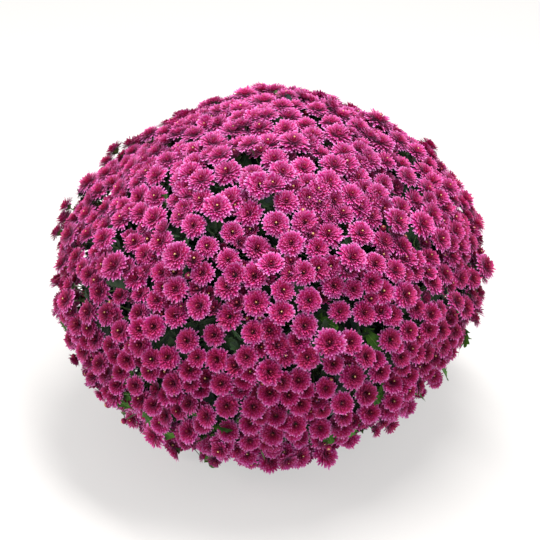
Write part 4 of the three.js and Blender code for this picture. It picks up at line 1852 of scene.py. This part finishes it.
@dataclass
class Foliage:
    """Leaves in the gaps, over the bush and at its lower edge."""

    finishes: Finishes
    heads: Heads
    ball: Ball
    hollows: Hollows
    fine_leaf: Pattern = field(default_factory=FINE_LEAF.model)
    plain_leaf: Pattern = field(default_factory=PLAIN_LEAF.model)
    stalk_share: float = 0.27  # of a leaf's length that is its stalk
    frame_width: float = 26 * MM
    frame_curl: float = -0.06
    off_bush: float = 0.80  # the bush itself ends nearer the middle than this
    length: Range = (38 * MM, 58 * MM)
    aspect: float = 0.62
    jitter_width: Range = (0.9, 1.1)
    curl: Range = (-0.12, 0.08)  # mean and spread
    upward: float = 0.15
    jitter_along: float = 0.15
    jitter_tone: float = 0.12
    middle: float = 0.6  # where a leaf's middle is, as a share of its length
    clear_at: tuple[float, ...] = (0.45, 0.6, 0.75, 0.9, 1.0)  # shares of a leaf's length
    clear_by: float = 10 * MM
    heart: float = 0.25  # how high a head's heart stands, as a share of its radius
    full: LeafHabit = LeafHabit(1.05, 0.0)  # those of the frame
    low_hollow: LeafHabit = LeafHabit(1.05, 0.0, rise=0.5, spread=0.8, size=0.62)
    # painted shade: darker, as these lie in the shade among the upper heads
    high_hollow: LeafHabit = LeafHabit(0.5, 0.5, rise=0.5, spread=0.8, size=0.62)
    hollow_copies: int = 5
    hollow_depth: Range = (0 * MM, 18 * MM)
    hollow_stray: float = 5 * MM
    low_height: float = 170 * MM
    low_depth: tuple[float, float] = (0.5, -3 * MM)  # share of the depth, and more
    skirt: LeafHabit = LeafHabit(1.05, 0.0, spread=0.35)
    skirt_z: float = 72 * MM
    skirt_radius: float = 115 * MM
    skirt_count: int = 30
    skirt_away: Range = (125 * MM, 195 * MM)
    skirt_height: Range = (38 * MM, 78 * MM)
    skirt_slope: float = 0.25
    skirt_upward: float = 0.9
    skirt_hang: float = -0.55
    skirt_sway: float = 0.35
    edge: LeafHabit = LeafHabit(1.5, 0.0, rise=0.4, spread=0.8, size=0.72)
    edge_count: int = 120
    edge_height: Range = (34 * MM, 130 * MM)
    edge_reach: Range = (-6 * MM, 7 * MM)
    # painted shade: darker, as these lie in the shade deep among the heads
    gap: LeafHabit = LeafHabit(0.6, 0.6, rise=0.35, spread=0.4)
    gap_count: int = 420
    gap_depth: Range = (16 * MM, 34 * MM)
    # painted shade: darker, as these lie in the shade inside the bush
    inner: LeafHabit = LeafHabit(0.7, 0.9, rise=0.15, spread=0.35)
    inner_copies: int = 3
    inner_share: Range = (0.68, 0.84)
    inner_stray: float = 9 * MM

    def frame_leaves(self) -> Blades:
        """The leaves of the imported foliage: each is a group of points that stands off the bush.

        Returns:
            The leaves.
        """
        mesh = merged_copy("foliage")
        places = np.array([v.co for v in mesh.verts])
        off_axis = np.linalg.norm((places - self.ball.centre)[:, :2], axis=1)
        free = self.ball.share(places) > self.off_bush
        free |= (places[:, 2] < self.skirt_z) & (off_axis > self.skirt_radius)
        rows = []
        for group in islands([v for v, is_free in zip(mesh.verts, free, strict=True) if is_free]):
            members = set(group)
            ends = [v.co for v in group if not members.issuperset(neighbours(v))]
            if not ends:
                continue
            root = sum(ends, Vector()) / len(ends)
            points = np.array([v.co for v in group])
            middle = points.mean(axis=0)
            normal = np.linalg.svd(points - middle)[2][2]
            normal = normal * np.sign(normal @ (middle - self.ball.centre))
            tip = max((v.co for v in group), key=lambda co: (co - root).length)
            rows.append((root, tip, normal))
        root, tip, normal = map(np.array, zip(*rows, strict=True))
        mesh.free()
        LOG.info("leaves read from the frame: %d", len(root))
        along = unit(tip - root)
        length = np.linalg.norm(tip - root, axis=1) / (1 - self.stalk_share)
        start = root - along * (self.stalk_share * length)[:, None]
        width, curl = (np.full(len(root), size) for size in (self.frame_width, self.frame_curl))
        return Blades(start, along, squared(normal, along), length, width, curl)

    def lying(self, places: np.ndarray, outward: np.ndarray, habit: LeafHabit) -> Blades:
        """Leaves whose middles are at places and which lie over in random directions.

        Args:
            places: where each leaf's middle is.
            outward: the way that each one's upper side faces, more or less.
            habit: how they lie.

        Returns:
            The leaves.
        """
        count = len(places)
        along = turned_towards(outward, RNG.uniform(0, TURN, count))
        sway = RNG.normal(0, self.jitter_along, along.shape)
        along = unit(along + outward * habit.rise + [0, 0, self.upward] + sway)
        normal = outward + RNG.normal(0, habit.spread, outward.shape)
        length = RNG.uniform(*self.length, count)
        width = length * self.aspect * RNG.uniform(*self.jitter_width, count)
        return Blades(
            root=places - along * (self.middle * length)[:, None],
            along=along,
            normal=squared(normal, along),
            length=length * habit.size,
            width=width * habit.size,
            curl=RNG.normal(*self.curl, count),
        )

    def clear(self, blades: Blades) -> Blades:
        """Leaves out those that cut through a flower head.

        Args:
            blades: leaves.

        Returns:
            Those that pass clear of every head's heart.
        """
        hearts = self.heads.middle + self.heads.facing * (self.heart * self.heads.radius)[:, None]
        free = np.ones(len(blades), bool)
        for share in self.clear_at:
            places = blades.root + blades.along * (share * blades.length)[:, None]
            free &= nearest(places, hearts)[1] > self.clear_by
        return blades.only(free)

    def inner_leaves(self) -> Blades:
        """The leaves that close the bush under the flowers.

        Returns:
            The leaves.
        """
        middles = np.repeat(self.heads.middle, self.inner_copies, axis=0)
        share = RNG.uniform(*self.inner_share, len(middles))[:, None]
        places = self.ball.centre + (middles - self.ball.centre) * share
        places += RNG.normal(0, self.inner_stray, places.shape)
        return self.lying(places, self.ball.outward(middles), self.inner)

    def gap_leaves(self) -> Blades:
        """The leaves that show in the gaps among the heads.

        Returns:
            The leaves.
        """
        _, middle = neighbour_gaps(self.heads, self.ball.centre, WIDEST_GAP)
        middle = middle[RNG.permutation(len(middle))[: self.gap_count]]
        outward = self.ball.outward(middle)
        depth = RNG.uniform(*self.gap_depth, len(middle))[:, None]
        return self.lying(middle - outward * depth, outward, self.gap)

    def hollow_leaves(self, low: bool) -> Blades:
        """The small leaves in the hollows.

        Args:
            low: whether they are those of the low hollows or of the others.

        Returns:
            The leaves.
        """
        chosen = (self.hollows.middle[:, 2] < self.low_height) == low
        middle = np.repeat(self.hollows.middle[chosen], self.hollow_copies, axis=0)
        outward = self.ball.outward(middle)
        depth = RNG.uniform(*self.hollow_depth, len(middle))[:, None]
        if low:
            share, more = self.low_depth
            depth = depth * share + more
        places = middle - outward * depth + RNG.normal(0, self.hollow_stray, middle.shape)
        return self.lying(places, outward, self.low_hollow if low else self.high_hollow)

    def skirt_leaves(self) -> Blades:
        """The leaves that hang at the bush's lower edge.

        Returns:
            The leaves.
        """
        turns = RNG.uniform(0, TURN, self.skirt_count)
        away = level(turns)
        radius = RNG.uniform(*self.skirt_away, self.skirt_count)
        height = RNG.uniform(*self.skirt_height, self.skirt_count)
        height = height + self.skirt_slope * (radius - self.skirt_away[0])
        places = self.ball.at(turns, radius, height)
        blades = self.lying(places, unit(away + [0, 0, self.skirt_upward]), self.skirt)
        sway = RNG.normal(0, self.skirt_sway, away.shape)
        blades.along = unit(away + [0, 0, self.skirt_hang] + sway)
        blades.normal = squared(blades.normal, blades.along)
        blades.root = places - blades.along * (self.middle * blades.length)[:, None]
        return blades

    def edge_leaves(self) -> Blades:
        """The small leaves that stick out among the lowest heads.

        Returns:
            The leaves.
        """
        turns = RNG.uniform(0, TURN, self.edge_count)
        places = self.ball.edge(turns, RNG.uniform(*self.edge_height, self.edge_count))
        outward = self.ball.outward(places)
        places = places + outward * RNG.uniform(*self.edge_reach, self.edge_count)[:, None]
        return self.lying(places, outward, self.edge)

    def build(self) -> None:
        """Builds and settles the leaves."""
        outer, inner = Heap([self.finishes.leaf]), Heap([self.finishes.leaf])
        hollows, skirt = self.clear(self.hollow_leaves(True)), self.clear(self.skirt_leaves())
        for blades in (self.frame_leaves(), hollows, skirt):
            self.add(outer, self.fine_leaf, blades, self.full)
        self.add(outer, self.fine_leaf, self.clear(self.edge_leaves()), self.edge)
        upper = self.clear(self.hollow_leaves(False))
        self.add(outer, self.fine_leaf, upper, self.high_hollow)
        self.add(outer, self.plain_leaf, self.clear(self.gap_leaves()), self.gap)
        settle(outer.make("outer_leaves"), Slot.FOLIAGE, "foliage")
        self.add(inner, self.plain_leaf, self.inner_leaves(), self.inner)
        settle(inner.make("inner_leaves"), Slot.FOLIAGE, "foliage")

    def add(self, heap: Heap, leaf: Pattern, blades: Blades, habit: LeafHabit) -> None:
        """Adds leaves, whose brightness varies a little.

        Args:
            heap: the piece that gets them.
            leaf: the leaf that they are copies of.
            blades: where they lie.
            habit: how they look.
        """
        count = len(blades)
        tone = habit.tone * (1 + RNG.normal(0, self.jitter_tone, count))
        heap.add(leaf, blades.laid(leaf), look_of(count, tone, habit.deep))


@dataclass
class Crown:
    """The woody crown: a trunk in the mix, its forks, and a branch to each spray."""

    finishes: Finishes
    heads: Heads
    ball: Ball
    rod: Pattern = field(default_factory=Rod(7, 8).model)
    trunk_radii: Range = (8 * MM, 6.4 * MM)
    trunk_foot: float = 62 * MM
    trunk_bend: Place = (1 * MM, 0, 99 * MM)
    trunk_top: float = 142 * MM
    forks: int = 7
    fork_radii: Range = (4.2 * MM, 3.15 * MM)
    fork_foot: float = 126 * MM
    fork_bend: Range = (4 * MM, 30 * MM)  # out and up from its foot
    elbow_radius: float = 30 * MM
    elbow_height: float = 190 * MM
    branch_radii: Range = (2.6 * MM, 1.4 * MM)
    branch_inset: float = 2 * MM
    branch_bend: Range = (12 * MM, 18 * MM)  # out and up from its foot

    def build(self) -> None:
        """Builds and settles the crown."""
        heap = Heap([self.finishes.bark])
        trunk = ((0, 0, self.trunk_foot), self.trunk_bend, (0, 0, self.trunk_top))
        self.add(heap, *(self.ball.foot + [point] for point in trunk), self.trunk_radii)
        turns = TURN * np.arange(self.forks) / self.forks
        away = level(turns)
        elbows = self.ball.at(turns, self.elbow_radius, self.elbow_height)
        start = np.tile(self.ball.foot + [0, 0, self.fork_foot], (self.forks, 1))
        out, up = self.fork_bend
        self.add(heap, start, start + away * out + [0, 0, up], elbows, self.fork_radii)
        firsts = np.unique(self.heads.spray, return_index=True)[1]
        ends = self.heads.fork[firsts]
        elbow, _ = nearest(ends, elbows)
        start = elbows[elbow] - away[elbow] * self.branch_inset
        out, up = self.branch_bend
        self.add(heap, start, start + away[elbow] * out + [0, 0, up], ends, self.branch_radii)
        settle(heap.make("crown"), Slot.FOLIAGE, "foliage")

    def add(
        self, heap: Heap, start: np.ndarray, bend: np.ndarray, end: np.ndarray, radii: Range
    ) -> None:
        """Adds a set of bent branches to the crown."""
        heap.add(self.rod, bent_rods(self.rod, start, bend, end, radii), look_of(len(start)))


# ------------------------------------------------------------------ pot and potting mix


def model_round(
    name: str, sides: int, foot: Range, rings: Sequence[Range], close: Callable[[], set[str]]
) -> bpy.types.Object:
    """Shapes a flat disc into a round body, by extruding its edge into wall after wall.

    Args:
        name: the piece's name.
        sides: how many sides the disc has.
        foot: the disc's radius and height.
        rings: the radius and height of each ring above it.
        close: the operator that closes the last ring.

    Returns:
        The body, round the Z axis.
    """
    piece = start_from(
        bpy.ops.mesh.primitive_circle_add,
        name,
        vertices=sides,
        radius=foot[0],
        fill_type="NGON",
    )
    with edit_mode(piece) as mesh:
        for edge in mesh.edges:
            edge.select_set(True)
        bpy.ops.transform.translate(value=(0, 0, foot[1]))
        for radius, height in rings:
            bpy.ops.mesh.extrude_edges_move()
            ring = [v for v in mesh.verts if v.select]
            share = radius / max(v.co.xy.length for v in ring)
            rise = height - ring[0].co.z
            bpy.ops.transform.resize(value=(share, share, 1), center_override=(0, 0, 0))
            bpy.ops.transform.translate(value=(0, 0, rise))
        close()
        bpy.ops.mesh.select_all(action="SELECT")
        bpy.ops.mesh.normals_make_consistent(inside=False)
    return piece


@dataclass
class Pot:
    """A plain moulded nursery pot with a turned-out rim and drain holes."""

    finishes: Finishes
    ball: Ball
    height: float = 140 * MM
    rim_radius: float = 112 * MM
    rim_draft: float = 1 * MM
    rim_foot: float = 114 * MM
    neck_radius: float = 105 * MM
    neck_height: float = 108 * MM
    base_radius: float = 80 * MM
    wall: float = 2.2 * MM
    floor: float = 3 * MM
    drains: int = 5
    drain_radius: float = 7 * MM
    drain_ring: float = 62 * MM
    drain_sides: int = 24
    sides: int = 80
    edge: float = 0.7 * MM
    edge_segments: int = 2
    sharp: float = math.radians(35)  # from which angle an edge is rounded
    smooth: float = math.radians(40)

    def outline(self) -> list[Range]:
        """Follows the wall from the foot over the rim to the inner floor.

        Returns:
            The radius and height of each ring.
        """
        return [
            (self.neck_radius, self.neck_height),
            (self.rim_radius - self.rim_draft, self.rim_foot),
            (self.rim_radius, self.height),
            (self.rim_radius - self.wall, self.height),
            (self.neck_radius - self.wall, self.neck_height),
            (self.base_radius - self.wall, self.floor),
        ]

    def build(self) -> None:
        """Builds and settles the pot."""
        foot = (self.base_radius, 0)
        close = bpy.ops.mesh.edge_face_add
        pot = model_round("nursery_pot", self.sides, foot, self.outline(), close)
        for turn in TURN * np.arange(self.drains) / self.drains:
            self.cut_drain(pot, turn)
        self.apply(
            pot,
            "BEVEL",
            width=self.edge,
            segments=self.edge_segments,
            limit_method="ANGLE",
            angle_limit=self.sharp,
        )
        self.ball.carry(pot)
        pot.select_set(True)
        bpy.ops.object.shade_smooth_by_angle(angle=self.smooth)
        pot.data.materials.append(self.finishes.pot)
        settle(pot, Slot.POT, "pot")

    def cut_drain(self, pot: bpy.types.Object, turn: float) -> None:
        """Cuts one round drain hole through the floor.

        Args:
            pot: the pot.
            turn: the hole's turn round the axis, in radians.
        """
        cutter = start_from(
            bpy.ops.mesh.primitive_cylinder_add,
            "drain",
            (self.drain_ring * math.cos(turn), self.drain_ring * math.sin(turn), 0),
            vertices=self.drain_sides,
            radius=self.drain_radius,
            depth=4 * self.floor,
        )
        self.apply(pot, "BOOLEAN", operation="DIFFERENCE", object=cutter)
        bpy.data.objects.remove(cutter)

    def apply(self, pot: bpy.types.Object, kind: str, **settings: Any) -> None:
        """Adds one modifier to the pot and applies it.

        Args:
            pot: the pot.
            kind: the modifier's type.
            settings: its settings.
        """
        modifier = pot.modifiers.new(kind.lower(), kind)
        for name, value in settings.items():
            setattr(modifier, name, value)
        bpy.ops.object.select_all(action="DESELECT")
        bpy.context.view_layer.objects.active = pot
        pot.select_set(True)
        bpy.ops.object.modifier_apply(modifier=modifier.name)


@dataclass
class PottingMix:
    """The mix in the pot: a low mound with crumbs and chips of bark on it."""

    finishes: Finishes
    ball: Ball
    foot: float = 3.3 * MM
    foot_radius: float = 77 * MM
    neck_radius: float = 102 * MM
    neck_height: float = 108 * MM
    edge_radius: float = 105 * MM
    edge_margin: float = 1 * MM  # no crumbs here, where it meets the pot
    top: float = 122 * MM
    mound: float = 5 * MM
    rings: int = 16
    sides: int = 64
    crumb: float = 1.2 * MM
    chips: int = 420
    chip_size: Range = (1.6 * MM, 4.8 * MM)  # half its length
    chip_tilt: float = 0.35
    chip_reach: float = 0.97  # of the mix's radius

    def mound_at(self, share: float | np.ndarray) -> float | np.ndarray:
        """The mound's height at a share of its radius."""
        return self.top + self.mound * (1 - share**2)

    def build(self) -> None:
        """Builds and settles the mix and its chips."""
        rings = [(self.neck_radius, self.neck_height), (self.edge_radius, self.top)]
        shares = [1 - k / self.rings for k in range(1, self.rings)]
        rings += [(self.edge_radius * share, self.mound_at(share)) for share in shares]
        close = partial(bpy.ops.mesh.merge, type="CENTER")
        mix = model_round("potting_mix", self.sides, (self.foot_radius, self.foot), rings, close)
        self.roughen(mix)
        mix.data.materials.append(self.finishes.peat)
        mix.data.shade_smooth()
        self.ball.carry(mix)
        settle(mix, Slot.SOIL, "soil")
        self.add_chips()

    def roughen(self, mix: bpy.types.Object) -> None:
        """Lifts and sinks the top of the mix by chance, inside its edge.

        Args:
            mix: the mix.
        """
        for vertex in mix.data.vertices:
            inside = vertex.co.xy.length < self.edge_radius - self.edge_margin
            if inside and vertex.co.z > self.neck_height:
                vertex.co.z += RNG.normal(0, self.crumb)

    def add_chips(self) -> None:
        """Scatters chips of bark over the mix."""
        pattern = Chip().model()
        share = self.chip_reach * np.sqrt(RNG.random(self.chips))
        turns = RNG.uniform(0, TURN, self.chips)
        places = self.ball.at(turns, self.edge_radius * share, self.mound_at(share))
        axes = unit([0, 0, 1.0] + RNG.normal(0, self.chip_tilt, (self.chips, 3)))
        sizes = RNG.uniform(*self.chip_size, self.chips)
        chips = set_on(pattern, places, axes, sizes, RNG.uniform(0, TURN, self.chips))
        heap = Heap([self.finishes.peat])
        heap.add(pattern, chips, look_of(self.chips))
        settle(heap.make("bark_chips"), Slot.SOIL, "soil")


# ------------------------------------------------------------------ studio


@dataclass(frozen=True)
class Softbox:
    """A rectangular lamp with an even, soft face."""

    name: str
    place: Place
    size: Range  # width and depth
    watts: float

    def add(self, aim: Vector) -> None:
        """Adds the lamp, pointed at the plant.

        Args:
            aim: the plant's middle.
        """
        data = bpy.data.lights.new(self.name, "AREA")
        data.shape = "RECTANGLE"
        data.size, data.size_y = self.size
        data.energy = self.watts
        lamp = bpy.data.objects.new(self.name, data)
        lamp.location = self.place
        lamp.rotation_euler = (aim - Vector(self.place)).to_track_quat("-Z", "Y").to_euler()
        bpy.context.scene.collection.objects.link(lamp)


@dataclass
class Studio:
    """The pale floor, soft light and the camera."""

    centre: Vector
    finish: FloorFinish = field(default_factory=FloorFinish)
    floor_side: float = 8.0
    sky: str = "#FFFFFF"
    sky_strength: float = 0.68
    lamps: tuple[Softbox, ...] = (
        Softbox("front_lamp", (-0.45, -2.2, 1.15), (0.5, 0.5), 5.0),
        Softbox("left_lamp", (-2.1, -0.3, 0.9), (0.8, 0.8), 20.0),
        Softbox("right_lamp", (2.1, -0.3, 0.9), (0.8, 0.8), 9.0),
        Softbox("top_lamp", (0.16, 0.12, 2.4), (1.5, 0.5), 71.0),
    )
    elevation: float = math.radians(30)
    distance: float = 2.0
    view_width: float = 0.649  # across the picture at the plant's middle
    sensor: float = 36.0  # millimetres
    aim_side: float = -2.5 * MM
    aim_up: float = -5.0 * MM

    def build(self) -> None:
        """Builds the floor, the lights and the camera."""
        floor = start_from(bpy.ops.mesh.primitive_plane_add, "floor", size=self.floor_side)
        floor.data.materials.append(self.finish.make())
        floor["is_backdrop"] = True
        self.add_sky()
        for lamp in self.lamps:
            lamp.add(self.centre)
        self.add_camera()

    def add_sky(self) -> None:
        """Adds an even white sky."""
        world = bpy.data.worlds.new("studio_sky")
        bpy.context.scene.world = world
        world.use_nodes = True
        background = world.node_tree.nodes["Background"]
        feed(background, {"Color": linear(self.sky), "Strength": self.sky_strength})

    def add_camera(self) -> None:
        """Adds the camera, aimed so that the plant stands where it should in the picture."""
        back = Vector((0, -math.cos(self.elevation), math.sin(self.elevation)))
        up = Vector((0, math.sin(self.elevation), math.cos(self.elevation)))
        data = bpy.data.cameras.new("camera")
        data.sensor_width = self.sensor
        data.lens = self.sensor * self.distance / self.view_width
        camera = bpy.data.objects.new("camera", data)
        aim = self.centre + up * self.aim_up + Vector((self.aim_side, 0, 0))
        camera.location = aim + back * self.distance
        camera.rotation_euler = (-back).to_track_quat("-Z", "Y").to_euler()
        bpy.context.scene.collection.objects.link(camera)
        bpy.context.scene.camera = camera
        bpy.context.scene.view_settings.view_transform = "Standard"


def main() -> None:
    """Builds the classes in order."""
    logging.basicConfig(level=logging.INFO, format="%(name)s %(message)s")
    finishes = Finishes()
    heads = FrameSprays().read()
    ball = Ball.over_pot()
    heads.middle = ball.sunken(heads.middle)
    hollows = Hollows.among(heads, ball)
    Flowers(finishes, heads, ball, hollows).build()
    Foliage(finishes, heads, ball, hollows).build()
    Crown(finishes, heads, ball).build()
    Pot(finishes, ball).build()
    PottingMix(finishes, ball).build()
    Studio(Vector(ball.centre)).build()
    lists = [[list(corner) for corner in box] for box in (CAD_BOX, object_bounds())]
    {"cad": lists[0], "visual": lists[1]}


if __name__ == "__main__":
    main()
